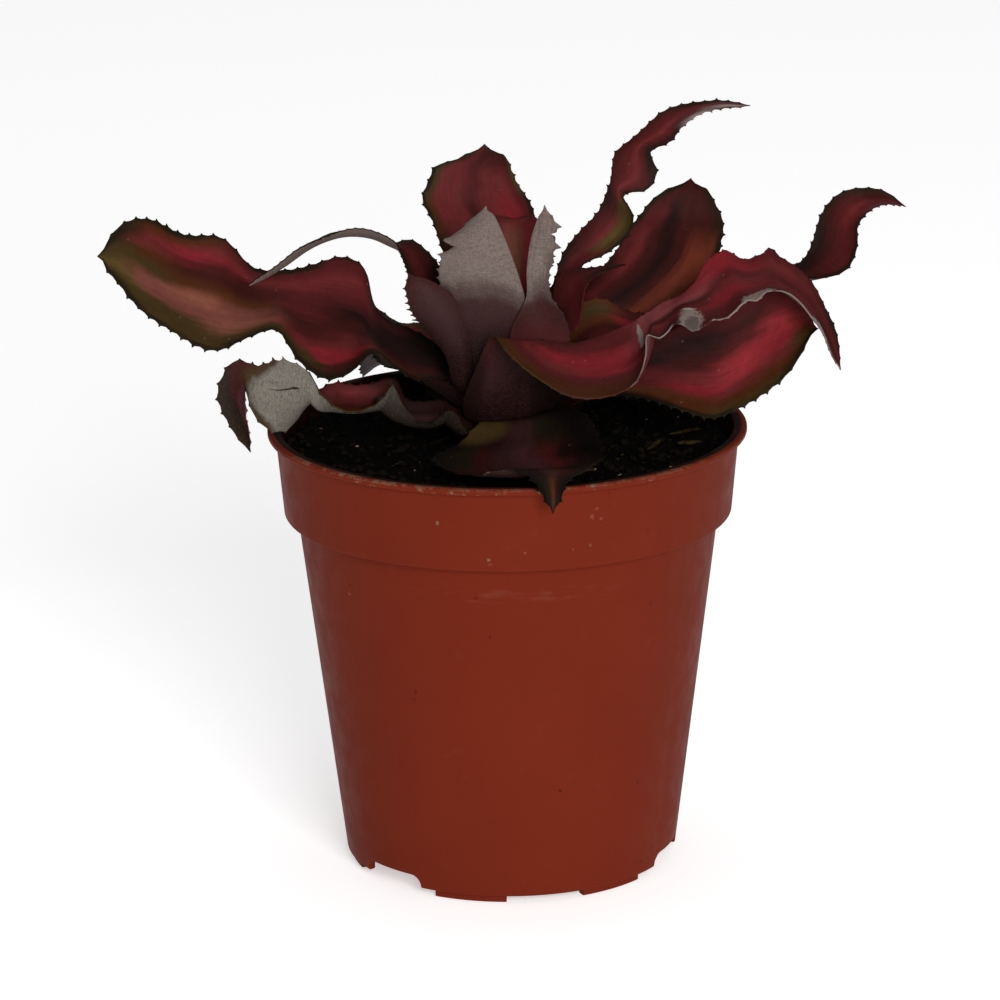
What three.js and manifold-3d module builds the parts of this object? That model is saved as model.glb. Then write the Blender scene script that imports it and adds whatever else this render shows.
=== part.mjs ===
// A potted earth star: a rosette of wavy, toothed bromeliad leaves on a short stem, growing in soil in a
// thin-walled moulded nursery pot. Millimetres, +Z up, -Y is the front. The origin is on the pot's axis at the
// level of its feet. Run with the npm packages three and manifold-3d; the default export is the group.
import * as THREE from 'three';
import { mergeVertices } from 'three/addons/utils/BufferGeometryUtils.js';
import Module from 'manifold-3d';

const wasm = await Module();
wasm.setup();

// Pot: a 9 cm nursery pot with a collar, a lip and a skirt cut by three notches.
const POT = {
  rimRadius: 45, height: 84.3, lipHeight: 1.2, wall: 1.0,
  collarTopRadius: 43.5, collarFootRadius: 42.1, collarFoot: 68.0,
  bodyTopRadius: 39.7, footRadius: 31.4, skirtBottom: 1.4,
  floorUnder: 4.2, floorThickness: 1.3, floorInset: 1.6, skirtWall: 1.5, ledge: 0.6, edge: 0.35, sides: 64,
};
const NOTCH = { height: 3.9, width: 14.3, corner: 1.8, reach: 14, angles: [224, 342, 102] };
const FOOT_PAD = {
  inner: 28.6, outer: 30.6, sink: 0.5,
  spans: [[242, 268], [296, 321], [2, 28], [55, 82], [122, 148], [175, 201]],
};
const DRAIN_HOLE = { radius: 3.2, depth: 6, ringRadius: 19, count: 6, firstAngle: 30, sides: 14 };

// Soil: fills the pot to a little below the rim, with an uneven top and a plain hole for the stem.
const SOIL = { level: 80.6, clearance: 0.32, edgeDrop: 0.6, edgeWidth: 0.2, rings: 9, sides: 44 };
const SOIL_WAVES = [
  { height: 0.35, x: 0.55, y: 0.21, phase: 1.3 },
  { height: 0.25, x: 0.83, y: -0.71, phase: 0 },
];
const STEM = { foot: 70.5, top: 99, footRadius: 4.6, neckRadius: 4.3, topRadius: 2.2, neck: 94, sides: 20 };

// Blades: thickness, and the saw-like teeth of their edges, larger and fewer than the fine real ones.
const BLADE = { midThickness: 1.1, edgeThickness: 0.62, tipTaper: 10, columns: 4, seat: 0.3, tabWidth: 5 };
const TEETH = { pitch: 4.6, reach: 0.65, inset: 0.45, bareBase: 9, fade: 12, lean: 0.2 };

// Every leaf: the direction (degrees) and height at which it leaves the stem, then pairs of edge places from
// the stem outwards: left x, y, z, right x, y, z as seen from the stem, and the depth of the channel between.
const LEAVES = [
  { name: 'leaf_far_left', at: [180, 87.2], colour: 0x6b2228, rows: [
    [-11.5, -4, 94, -13, 3, 99, 1.6], [-16.5, -6, 94.5, -18.5, 6, 101.5, 1.8],
    [-21, -8, 98, -22, 8, 102.5, 1.8], [-24.5, -9, 101, -25, 9, 105.5, 2],
    [-29, -9, 97, -26.5, 10, 112, 2.2], [-33.5, -9, 96, -30.5, 10, 114.5, 2.4],
    [-38.5, -8, 99.5, -36.5, 9, 113, 2], [-42.5, -7, 105, -41.5, 8, 112, 1.8],
    [-48, -8, 103.5, -47, 7, 113, 1.8], [-54, -9, 101.5, -53, 6, 119, 2],
    [-60.5, -9, 104.5, -59.5, 5, 120, 1.6], [-67, -8, 109, -66, 3, 123.5, 1.2],
    [-72, -7, 114.5, -71, 0, 123.5, 0.8], [-75.5, -5, 118, -75.5, -4, 119, 0]] },
  { name: 'leaf_thin_left', at: [187, 92], colour: 0x5d3338, rows: [
    [-13, -3, 103.5, -9, 1, 104.5, 1], [-16, -4, 109.5, -11.5, 0, 110, 1],
    [-17.5, -5, 114.5, -12.5, 0, 115, 1], [-18.5, -7, 119.3, -17.5, 0, 119.8, 0.8],
    [-20, -7, 121.6, -20.5, -1, 119, 0.5], [-24.5, -8, 123.5, -24.5, -2, 121, 0.4],
    [-29, -8, 123.5, -29.5, -2, 121.5, 0.4], [-33.5, -8, 122.5, -33.5, -2, 120.5, 0.4],
    [-38, -8, 120.4, -37.5, -2, 118.4, 0.4], [-41.5, -8, 117.6, -41, -3, 116, 0.3],
    [-44.5, -7, 115.4, -44, -4, 114.2, 0.2], [-47.5, -6, 113.3, -47.5, -6, 112.7, 0]] },
  { name: 'leaf_small_left', at: [214, 90], colour: 0x45262c, rows: [
    [-7, -8.5, 94.5, -10, -6.8, 94, 0.6], [-6.8, -11.8, 101, -11, -10.5, 99.5, 1],
    [-10, -12.5, 107, -14.5, -10.5, 105, 1], [-12, -13, 111, -17, -11, 108, 0.8],
    [-15, -12.5, 113, -18, -11, 111, 0.5], [-17, -11, 114.5, -18.5, -11, 114, 0.2],
    [-18, -10, 116, -18.5, -10, 116, 0]] },
  { name: 'leaf_back_left', at: [112, 91], colour: 0x6f1f27, rows: [
    [-7, 7.5, 99, -0.5, 8, 99, 1], [-9.5, 9, 109, 2.5, 9.5, 109, 1.4],
    [-12, 10.5, 116, 5, 11.5, 116, 1.6], [-13.5, 12, 120.5, 5.5, 13, 121.5, 1.6],
    [-15.5, 14, 124.5, 4, 15, 124.5, 1.4], [-14, 15, 128, 2.5, 16, 126.5, 1],
    [-13, 16, 130.3, 1, 17, 128.5, 0.6], [-8.5, 17, 131, -0.5, 17, 131, 0.4],
    [-4.5, 18, 133.5, -3.5, 18, 133.5, 0]] },
  { name: 'leaf_inner_back', at: [70, 96], colour: 0x6a2c2a, rows: [
    [-1, 3.5, 107.5, 4, 3.5, 107.5, 0.8], [-2, 4.5, 115, 5.5, 4.5, 115, 0.9],
    [-3, 5.2, 119.5, 6, 5.2, 119.5, 0.8], [-2.5, 6.2, 122.3, 6, 6.2, 122.3, 0.6],
    [-1, 8, 122, 4.5, 8, 122, 0.4], [1.6, 9.2, 120.3, 2.4, 9.2, 120.3, 0]] },
  { name: 'leaf_inner_left', at: [240, 92.5], colour: 0x7d7370, rows: [
    [-3.5, -8, 97, -8, -7, 97, 1], [-1, -9.5, 104, -11, -8, 105, 1.4],
    [1, -10.3, 110, -11.7, -9, 111, 1.6], [0.9, -10.3, 114, -12.7, -9.5, 116, 1.6],
    [0, -9.5, 120, -12, -8.5, 120, 1.2], [-1.5, -8.5, 123.5, -10, -7.5, 122.5, 0.8],
    [-2.5, -7.5, 125.5, -6, -6.5, 124.5, 0.4], [-3.2, -6.5, 127, -3.8, -6.5, 127, 0]] },
  { name: 'leaf_inner_right', at: [305, 93], colour: 0x7b6a6c, rows: [
    [9, -5.5, 97, 1.5, -8.5, 97.5, 1.2], [11.5, -6.5, 102.5, 1.5, -10.5, 104, 1.5],
    [10.8, -7, 106.5, 2.8, -11, 108.5, 1.2], [8.5, -8, 110.3, 3.2, -10.5, 111.5, 0.8],
    [8.2, -8, 115, 3.6, -9.5, 116.5, 0.7], [9, -8, 120, 4.2, -8.7, 122, 0.6],
    [8, -7, 124, 5.5, -7.7, 125, 0.3], [6.9, -7, 127.4, 6.2, -7, 127.4, 0]] },
  { name: 'leaf_small_right', at: [5, 95], colour: 0x5c1c22, rows: [
    [8.5, 1, 106.5, 10.2, -4.5, 101.5, 0.8], [9.8, 2.5, 112, 13.2, -5, 104, 0.9],
    [12.7, 3, 113.5, 14.5, -4, 110.5, 0.7], [16, 3.5, 113.8, 16.5, -2, 113, 0.5],
    [19, 3, 114.3, 19.2, -0.5, 114, 0.3], [22, 2, 114.4, 22, 1.2, 114.4, 0]] },
  { name: 'leaf_lobed_back_right', at: [60, 90.5], colour: 0x5e2424, rows: [
    [12.5, 11, 102, 17.5, 9, 97.5, 1.2], [15, 11.5, 107.5, 25.5, 11, 100.5, 1.6],
    [18, 11.5, 111, 34.5, 12.5, 105.6, 1.8], [21, 11.5, 114.7, 39.5, 12.5, 111, 1.8],
    [23, 11.5, 118.2, 40.5, 12, 115.5, 1.6], [25.5, 11.5, 121.3, 41, 11.5, 119.8, 1.4],
    [27.5, 12, 124, 39.5, 12.5, 123.3, 1.1], [30.5, 13, 126, 38, 13, 126, 0.6],
    [34.5, 13, 128, 35.5, 13, 128, 0]] },
  { name: 'leaf_tall_back_right', at: [62, 94.5], colour: 0x6a2026, rows: [
    [8.4, 7.5, 108, 12, 6.5, 107.5, 0.8], [11, 8.5, 115.2, 14.2, 7.5, 112.7, 1],
    [14.2, 9.5, 119, 19.2, 8.5, 115, 1.2], [17.6, 10.5, 122.4, 23.5, 9.5, 118.8, 1.2],
    [19, 11, 125.6, 24, 10, 122, 1], [20, 12, 128, 22, 12, 125.4, 0.6],
    [20.3, 12, 130.8, 27, 13, 126, 1], [20.9, 12, 133.3, 28.7, 14, 129.5, 1],
    [23.4, 12, 135.4, 27.2, 14, 133, 0.7], [27, 12, 138.7, 31.5, 14, 135.2, 0.7],
    [30, 12, 141, 33, 14, 137.5, 0.5], [35, 12, 143, 36.5, 13, 140.5, 0.4],
    [40.5, 12, 143.5, 41, 12, 142, 0.2], [46, 11, 142.8, 46, 11, 142.2, 0]] },
  { name: 'leaf_far_right', at: [5, 87.5], colour: 0x661c2a, rows: [
    [12, 4.5, 104.5, 14.5, -0.5, 100, 1], [17, 4.5, 107, 19, -0.5, 101.5, 1.2],
    [25, 5, 104, 26, 0, 101, 1.2], [34.5, 7, 106.3, 35.5, 1.5, 103.5, 1.2],
    [44, 10, 109.7, 44.5, 4, 107.5, 1.2], [52, 13.5, 111, 53.5, 7.5, 109.3, 1.2],
    [56, 16, 111, 59.5, 10.5, 109, 1], [58, 17, 114, 64.5, 12.5, 110.5, 1.2],
    [59, 18, 117.5, 66.5, 14.5, 114.5, 1.2], [60.5, 19, 120.5, 66.5, 15.5, 118, 1],
    [63.5, 19, 123.5, 68.5, 16.5, 120.5, 0.8], [67.5, 19, 124.5, 71, 17, 121.7, 0.6],
    [71.5, 19, 124, 73.5, 18, 121.5, 0.4], [75.8, 18, 121.2, 75.8, 18, 120.6, 0]] },
  { name: 'leaf_long_right', at: [275, 86], colour: 0x7a1f2c, rows: [
    [7, -10, 92, -7, -10.5, 92, 1.8], [7, -14, 101.5, -5.5, -14, 99.5, 1.6],
    [5.5, -17.5, 105, -2.5, -17, 106, 0.8], [7.5, -17, 104.5, 0, -24, 104.5, 1],
    [12, -15, 103.5, 5.5, -28, 100.5, 1.8], [17.5, -13, 104.5, 10.5, -30, 98, 2.4],
    [20.5, -12, 105.5, 17, -30, 97.5, 2.6], [23, -11, 106, 23, -28, 99, 2.2],
    [25, -10, 107, 25.5, -24, 103.5, 1.4], [27, -9.5, 108, 25.5, -21, 107, 1.2],
    [29, -8.5, 109.5, 28, -20, 106, 1.4], [32, -7.5, 110.5, 32, -18, 110, 1.2],
    [35, -6, 112.5, 36.5, -18, 109, 1.6], [37.5, -3, 116, 40.5, -18, 109, 1.9],
    [40.5, -2, 117.5, 44, -16.5, 111.5, 1.8], [44.5, -2, 115.5, 46.5, -15.5, 113, 1.6],
    [49, -1.5, 117, 50.5, -15, 113, 1.6], [53, -3, 115.3, 53.5, -15, 111, 1.4],
    [56.5, -6, 112.5, 56, -15, 108.5, 1], [59, -9, 108, 58, -15, 105.5, 0.7],
    [61, -12, 103.5, 59.5, -15, 102, 0.4], [61.6, -14.8, 98, 61.4, -15.4, 98, 0]] },
  { name: 'leaf_low_right', at: [340, 83.2], colour: 0x6f1c29, rows: [
    [16.5, -3.5, 96, 16.5, -8.5, 91.5, 1.2], [26, -4, 101, 24.5, -11, 92, 1.6],
    [34, -3, 104, 32, -12, 90, 2], [41, -2.5, 106, 38, -13, 88.5, 2.2],
    [46.5, -2, 107.5, 43, -12, 90.2, 2.2], [51, -2, 108.5, 48, -11, 93, 1.8],
    [54, -3, 108, 52, -10, 96, 1.4], [56, -4, 106.5, 54.5, -9, 99.5, 1],
    [57.3, -5, 105, 56, -8, 102, 0.5], [58, -6, 103.8, 57.7, -6.6, 103.6, 0]] },
  { name: 'leaf_heart_left', at: [165, 96.3], colour: 0x6b3436, rows: [
    [-3.4, -2.4, 101, -3.6, 2.4, 101, 0.7], [-3.8, -2.2, 106, -4.2, 2.2, 106, 0.6],
    [-4, -1.2, 110, -4.4, 1.2, 110, 0.3], [-4.3, -0.3, 112.5, -4.3, 0.3, 112.5, 0]] },
  { name: 'leaf_heart_right', at: [350, 97], colour: 0x6b3436, rows: [
    [3.4, 1.4, 101.5, 3.9, -3.2, 101, 0.7], [3.9, 1.4, 106, 4.7, -3.2, 105.5, 0.6],
    [4.4, 0.6, 110, 5.1, -2.2, 109.5, 0.3], [5, -0.5, 112.3, 5, -1.1, 112.3, 0]] },
  { name: 'leaf_low_left', at: [222, 83], colour: 0x8a857c, rows: [
    [-4, -11.5, 86, -8, -5, 88.5, 1.4], [-7, -13, 85, -10, -5.5, 89, 1.4],
    [-10.5, -13.5, 91, -12, -6, 90.5, 3], [-14.5, -13.5, 88, -15, -6.5, 90.5, 2.4],
    [-19, -13.5, 91.5, -19, -7, 91, 3.6], [-21, -12.5, 96, -21, -7.5, 95, 6],
    [-24, -13.5, 92.5, -24.5, -7.5, 94.5, 3.4], [-29, -14.5, 91, -28.5, -8.5, 94.5, 2.4],
    [-34, -13.5, 93.5, -33, -8.5, 94.8, 3.6], [-37, -11.5, 98, -37.5, -9.5, 94, 1.6],
    [-41, -11.5, 100, -41, -11, 90, 1.2], [-43.5, -12.5, 100, -44.5, -12.5, 89.5, 1],
    [-46, -14, 99.5, -47.5, -11, 91.5, 1], [-50, -16, 101.3, -48, -11.5, 95.5, 0.8],
    [-53, -18, 96, -48.5, -13.5, 92.5, 0.8], [-51.5, -19, 91, -48, -15, 88.5, 0.6],
    [-49.7, -18, 87, -47.5, -16, 86, 0.3], [-47.8, -17, 84, -47.2, -16.8, 84, 0]] },
  { name: 'leaf_front', at: [281, 82.8], colour: 0x4a2226, rows: [
    [10, -12.5, 91.3, -5, -12.5, 88.3, 1.6], [15, -18, 90, -9, -16.5, 85, 1.6],
    [17, -24, 87.3, -13.5, -23, 84.5, 1.6], [16.3, -32, 86, -12.5, -31, 84.5, 1.2],
    [13.5, -38, 86, -4.5, -38, 85.3, 0.6], [11, -42, 86.3, 1.5, -42.3, 86.5, 0.2],
    [9.5, -46, 85.8, 4.5, -46.3, 85.8, 0], [8.3, -48.3, 83.3, 5.8, -48.5, 83.3, 0],
    [7.3, -49, 81, 6.7, -49, 81, 0]] },
];

// Leaves behind the others, drawn by one rule: direction, height at the stem, length, half width, how steeply
// the blade sets off, how far it droops again, how far it rolls over on its side and where its ruffles start.
const BACK_LEAVES = [
  { name: 'leaf_back_outer_left', at: [146, 85.2], length: 57, halfWidth: 8.5,
    rise: 42, droop: 22, roll: 14, phase: 0.4 },
  { name: 'leaf_back_low_left', at: [122, 82.8], length: 52, halfWidth: 8,
    rise: 30, droop: 44, roll: -8, phase: 2.1 },
  { name: 'leaf_back_middle', at: [88, 87], length: 50.5, halfWidth: 9,
    rise: 42, droop: 52, roll: 10, phase: 4.0 },
  { name: 'leaf_back_low_right', at: [58, 82.8], length: 53, halfWidth: 8,
    rise: 28, droop: 40, roll: 8, phase: 5.1 },
  { name: 'leaf_back_outer_right', at: [34, 85.2], length: 60, halfWidth: 8,
    rise: 34, droop: 44, roll: -12, phase: 3.0 },
];
const BACK_COLOUR = 0x5e2228;
const ARCH = { rows: 10, lift: 0.6, channel: 0.22, tipHalfWidth: 0.4 };
const RUFFLE = { height: 1.7, turns: 2.6, lag: 2 };

const radians = THREE.MathUtils.degToRad;
const { mapLinear } = THREE.MathUtils;

// Points on a circle about the axis.
const around = (radius, degrees, z) =>
  new THREE.Vector3(radius * Math.cos(radians(degrees)), radius * Math.sin(radians(degrees)), z);

function stemRadius(z) {
  if (z < STEM.neck) return mapLinear(z, STEM.foot, STEM.neck, STEM.footRadius, STEM.neckRadius);
  return mapLinear(z, STEM.neck, STEM.top, STEM.neckRadius, STEM.topRadius);
}

// The narrow tab by which a leaf is seated on the stem: a pair of edge places across its direction.
function tab([direction, z]) {
  const radius = stemRadius(z) + BLADE.seat + BLADE.midThickness / 2;
  const centre = around(radius, direction, z);
  const left = around(BLADE.tabWidth / 2, direction + 90, 0);
  return { left: centre.clone().add(left), right: centre.clone().sub(left), sink: 0 };
}

const pairFromRow = ([lx, ly, lz, rx, ry, rz, sink]) =>
  ({ left: new THREE.Vector3(lx, ly, lz), right: new THREE.Vector3(rx, ry, rz), sink });

// Edge pairs of a leaf that arches away from the stem and droops, with ruffled edges.
function archingPairs({ at: [direction, z], length, halfWidth, rise, droop, roll, phase }) {
  const pairs = [];
  const heading = around(1, direction, 0);
  const leftward = around(1, direction + 90, 0);
  const step = length / ARCH.rows;
  const place = around(stemRadius(z) + 1, direction, z);
  for (let i = 1; i <= ARCH.rows; i++) {
    const t = i / ARCH.rows;
    const slope = radians(rise - (rise + droop) * Math.pow(t, 1.6));
    place.addScaledVector(heading, step * Math.cos(slope));
    place.z += step * Math.sin(slope);
    const outline = Math.pow(Math.sin(Math.PI * Math.pow(0.12 + 0.88 * t, 0.85)), 0.8);
    const half = Math.max(ARCH.tipHalfWidth, halfWidth * outline);
    const turn = radians(roll * t);
    const across = leftward.clone().multiplyScalar(Math.cos(turn) * half).setZ(Math.sin(turn) * half);
    const height = RUFFLE.height * Math.sin(Math.PI * t);
    const wave = RUFFLE.turns * 2 * Math.PI * t + phase;
    const left = place.clone().add(across);
    const right = place.clone().sub(across);
    left.z += ARCH.lift + height * Math.sin(wave);
    right.z += ARCH.lift + height * Math.sin(wave + RUFFLE.lag);
    pairs.push({ left, right, sink: ARCH.channel * half });
  }
  return pairs;
}

// Cross-sections at even steps along the blade, on smooth curves through the pairs.
function sections(pairs, step) {
  const leftEdge = new THREE.CatmullRomCurve3(pairs.map((p) => p.left));
  const rightEdge = new THREE.CatmullRomCurve3(pairs.map((p) => p.right));
  const sinks = new THREE.SplineCurve(pairs.map((p, i) => new THREE.Vector2(i, p.sink)));
  const middle = (u) => leftEdge.getPoint(u).add(rightEdge.getPoint(u)).multiplyScalar(0.5);
  const fine = 30 * pairs.length;
  const lengths = [0];
  for (let i = 1; i <= fine; i++) {
    lengths.push(lengths[i - 1] + middle(i / fine).distanceTo(middle((i - 1) / fine)));
  }
  const total = lengths[fine];
  const count = Math.max(6, Math.round(total / step));
  const result = [];
  for (let k = 0, i = 0; k <= count; k++) {
    const along = (total * k) / count;
    while (i < fine - 1 && lengths[i + 1] < along) i++;
    const u = mapLinear(along, lengths[i], lengths[i + 1], i / fine, (i + 1) / fine);
    const sink = Math.max(0, sinks.getPoint(u).y);
    const edges = { left: leftEdge.getPoint(u), right: rightEdge.getPoint(u) };
    result.push({ ...edges, sink, along, toTip: total - along });
  }
  return result;
}

// The places of a blade's midsurface: across each section runs a channel, deepest in its middle.
function midsurface(rows) {
  return rows.map(({ left, right, sink }, i) => {
    const across = right.clone().sub(left);
    const ahead = rows[Math.min(i + 1, rows.length - 1)];
    const behind = rows[Math.max(i - 1, 0)];
    const forward = ahead.left.clone().add(ahead.right).sub(behind.left).sub(behind.right);
    const up = across.clone().cross(forward).normalize();
    return Array.from({ length: BLADE.columns + 1 }, (_, j) =>
      left.clone().lerp(right, j / BLADE.columns).addScaledVector(up, -sink * bulge(j)));
  });
}

// From 0 at a blade's edges to 1 along its middle.
function bulge(j) {
  const s = (2 * j) / BLADE.columns - 1;
  return 1 - s * s;
}

// How far an edge place moves to make a tooth, on every other row, or the notch between two teeth.
function toothShift(i, lastRow, { along, toTip }, outward, forward) {
  const size = along > TEETH.bareBase ? Math.min(1, toTip / TEETH.fade) : 0;
  if (i % 2 === 0 || i === lastRow) return outward.multiplyScalar(-TEETH.inset * size);
  return outward.multiplyScalar(TEETH.reach * size).addScaledVector(forward, TEETH.lean * TEETH.pitch * size);
}

// One leaf as a closed solid: its midsurface thickened both ways, with toothed edges.
function leafGeometry(pairs) {
  const rows = sections(pairs, TEETH.pitch / 2);
  const grid = midsurface(rows);
  const lastRow = grid.length - 1;
  const top = [];
  const bottom = [];
  grid.forEach((row, i) => {
    const ahead = grid[Math.min(i + 1, lastRow)];
    const behind = grid[Math.max(i - 1, 0)];
    const swell = (BLADE.midThickness - BLADE.edgeThickness) * Math.min(1, rows[i].toTip / BLADE.tipTaper);
    row.forEach((point, j) => {
      const across = row[Math.min(j + 1, BLADE.columns)].clone().sub(row[Math.max(j - 1, 0)]).normalize();
      const forward = ahead[j].clone().sub(behind[j]).normalize();
      const normal = across.clone().cross(forward).normalize();
      const place = point.clone();
      if (j === 0) place.add(toothShift(i, lastRow, rows[i], across.negate(), forward));
      if (j === BLADE.columns) place.add(toothShift(i, lastRow, rows[i], across, forward));
      const thickness = BLADE.edgeThickness + swell * bulge(j);
      top.push(place.clone().addScaledVector(normal, thickness / 2));
      bottom.push(place.clone().addScaledVector(normal, -thickness / 2));
    });
  });
  return closedSheet(top, bottom, grid.length, BLADE.columns + 1);
}

// Joins an upper and a lower sheet of rows x columns points into one closed body.
function closedSheet(top, bottom, rows, columns) {
  const index = [];
  const under = rows * columns;
  const triangle = (a, b, c) => index.push(a, b, c);
  const quad = (a, b, c, d) => index.push(a, b, c, a, c, d);
  for (let i = 0; i < rows - 1; i++) {
    for (let j = 0; j < columns - 1; j++) {
      const a = i * columns + j;
      const c = a + 1 + columns;
      quad(a, a + 1, c, a + columns);
      triangle(under + a, under + c, under + a + 1);
      triangle(under + a, under + a + columns, under + c);
    }
    const left = i * columns;
    const right = left + columns - 1;
    quad(left, left + columns, under + left + columns, under + left);
    quad(right, under + right, under + right + columns, right + columns);
  }
  for (let j = 0; j < columns - 1; j++) {
    const end = (rows - 1) * columns + j;
    quad(j, under + j, under + j + 1, j + 1);
    quad(end, end + 1, under + end + 1, under + end);
  }
  const geometry = new THREE.BufferGeometry();
  const numbers = [...top, ...bottom].flatMap((p) => p.toArray());
  geometry.setAttribute('position', new THREE.Float32BufferAttribute(numbers, 3));
  geometry.setIndex(index);
  return geometry;
}

// Geometry to solid and back, for joins and cuts.
function solid(geometry) {
  const plain = geometry.clone();
  plain.deleteAttribute('normal');
  plain.deleteAttribute('uv');
  const merged = mergeVertices(plain, 1e-4);
  return new wasm.Manifold(new wasm.Mesh({
    numProp: 3,
    vertProperties: new Float32Array(merged.attributes.position.array),
    triVerts: new Uint32Array(merged.index.array),
  }));
}

function geometryOf(body) {
  const mesh = body.getMesh();
  const geometry = new THREE.BufferGeometry();
  geometry.setAttribute('position', new THREE.Float32BufferAttribute(mesh.vertProperties, mesh.numProp));
  geometry.setIndex([...mesh.triVerts]);
  return geometry;
}

// A closed profile of radius and height, spun about the axis. Its points run anticlockwise.
function spun(profile, sides) {
  const closed = [...profile, profile[0]];
  return new THREE.LatheGeometry(closed.map(([r, z]) => new THREE.Vector2(r, z)), sides).rotateX(Math.PI / 2);
}

const lipFoot = POT.height - POT.lipHeight;
const bodyRadius = (z) =>
  mapLinear(z, POT.skirtBottom, POT.collarFoot, POT.footRadius, POT.bodyTopRadius);
const collarRadius = (z) =>
  mapLinear(z, POT.collarFoot, lipFoot, POT.collarFootRadius, POT.collarTopRadius);

// The pot's inside, from the rim down to the floor.
function innerProfile(gap) {
  const step = POT.wall + POT.ledge;
  const inside = (radius) => radius - POT.wall - gap;
  return [
    [inside(collarRadius(POT.height)), POT.height],
    [inside(POT.collarFootRadius), POT.collarFoot + step],
    [inside(bodyRadius(POT.collarFoot - step)), POT.collarFoot - step],
    [inside(bodyRadius(POT.floorUnder)), POT.floorUnder + POT.floorThickness + gap],
  ];
}

function potGeometry() {
  const { height, edge, skirtBottom, collarFoot, floorUnder, rimRadius } = POT;
  const outer = [
    [0, floorUnder], [bodyRadius(floorUnder) - POT.floorInset, floorUnder],
    [POT.footRadius - POT.skirtWall, skirtBottom],
    [POT.footRadius - edge, skirtBottom], [bodyRadius(skirtBottom + edge), skirtBottom + edge],
    [bodyRadius(collarFoot), collarFoot], [POT.collarFootRadius - edge, collarFoot],
    [POT.collarFootRadius, collarFoot + edge], [POT.collarTopRadius, lipFoot], [rimRadius - edge, lipFoot],
    [rimRadius, lipFoot + edge], [rimRadius, height - edge], [rimRadius - edge, height],
  ];
  let pot = solid(spun([...outer, ...innerProfile(0), [0, floorUnder + POT.floorThickness]], POT.sides));
  for (const angle of NOTCH.angles) {
    pot = pot.subtract(solid(notchBlock().rotateZ(radians(angle))));
  }
  for (let i = 0; i < DRAIN_HOLE.count; i++) {
    const { radius, depth, ringRadius, count, firstAngle, sides } = DRAIN_HOLE;
    const hole = new THREE.CylinderGeometry(radius, radius, depth, sides).rotateX(Math.PI / 2);
    hole.translate(ringRadius, 0, floorUnder).rotateZ(radians(firstAngle + (360 * i) / count));
    pot = pot.subtract(solid(hole));
  }
  for (const [from, to] of FOOT_PAD.spans) pot = pot.add(solid(footPad(from, to)));
  return geometryOf(pot);
}

// What a notch takes away: a bar through the skirt, its upper corners rounded.
function notchBlock() {
  const { height, width, corner, reach } = NOTCH;
  const shape = new THREE.Shape();
  shape.moveTo(-width / 2, -1);
  shape.lineTo(width / 2, -1);
  shape.absarc(width / 2 - corner, height - corner, corner, 0, Math.PI / 2, false);
  shape.absarc(-width / 2 + corner, height - corner, corner, Math.PI / 2, Math.PI, false);
  const bar = new THREE.ExtrudeGeometry(shape, { depth: reach, bevelEnabled: false, curveSegments: 4 });
  return bar.rotateX(Math.PI / 2).rotateZ(Math.PI / 2).translate(POT.footRadius - reach / 2, 0, 0);
}

// A low foot under the skirt: an arc from one direction to another.
function footPad(from, to) {
  const shape = new THREE.Shape();
  shape.absarc(0, 0, FOOT_PAD.outer, radians(from), radians(to), false);
  shape.absarc(0, 0, FOOT_PAD.inner, radians(to), radians(from), true);
  const depth = POT.skirtBottom + FOOT_PAD.sink;
  return new THREE.ExtrudeGeometry(shape, { depth, bevelEnabled: false, curveSegments: 5 });
}

// Soil: the pot's filling, its top raised and lowered by a few slow waves, with a hole for the stem.
function soilGeometry() {
  const [rim, collarFoot, bodyTop, floor] = innerProfile(SOIL.clearance);
  const wallRadius = mapLinear(SOIL.level, collarFoot[1], rim[1], collarFoot[0], rim[0]);
  const holeRadius = STEM.footRadius + SOIL.clearance;
  const holeFloor = STEM.foot - SOIL.clearance;
  const profile = [[0, holeFloor], [0, floor[1]], floor, bodyTop, collarFoot];
  profile.push([wallRadius - SOIL.edgeWidth, SOIL.level - SOIL.edgeDrop]);
  for (let i = 1; i < SOIL.rings; i++) {
    profile.push([THREE.MathUtils.lerp(wallRadius, holeRadius, i / SOIL.rings), SOIL.level]);
  }
  profile.push([holeRadius, SOIL.level], [holeRadius, holeFloor]);
  const geometry = spun(profile, SOIL.sides);
  const places = geometry.attributes.position;
  for (let i = 0; i < places.count; i++) {
    if (Math.abs(places.getZ(i) - SOIL.level) > 0.01) continue;
    for (const { height, x, y, phase } of SOIL_WAVES) {
      places.setZ(i, places.getZ(i) + height * Math.sin(x * places.getX(i) + y * places.getY(i) + phase));
    }
  }
  return geometryOf(solid(geometry));
}

function stemGeometry() {
  const { foot, top, footRadius, neckRadius, topRadius, neck, sides } = STEM;
  const profile = [[0, foot], [footRadius, foot], [neckRadius, neck], [topRadius, top], [0, top]];
  return geometryOf(solid(spun(profile, sides)));
}

function piece(name, geometry, colour, roughness) {
  geometry.computeVertexNormals();
  const material = new THREE.MeshStandardMaterial({ color: colour, roughness, metalness: 0 });
  const mesh = new THREE.Mesh(geometry, material);
  mesh.name = name;
  return mesh;
}

const plant = new THREE.Group();
plant.add(piece('pot', potGeometry(), 0x96321e, 0.42));
plant.add(piece('soil', soilGeometry(), 0x14100e, 1));
plant.add(piece('stem', stemGeometry(), 0x5a4636, 0.8));
for (const { name, at, colour, rows } of LEAVES) {
  plant.add(piece(name, leafGeometry([tab(at), ...rows.map(pairFromRow)]), colour, 0.45));
}
for (const leaf of BACK_LEAVES) {
  plant.add(piece(leaf.name, leafGeometry([tab(leaf.at), ...archingPairs(leaf)]), BACK_COLOUR, 0.45));
}

export default plant;
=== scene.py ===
"""The looks of a potted earth star: wavy, toothed leaves of a small bromeliad in a moulded nursery pot."""
import math
import random
from collections import namedtuple

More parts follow.
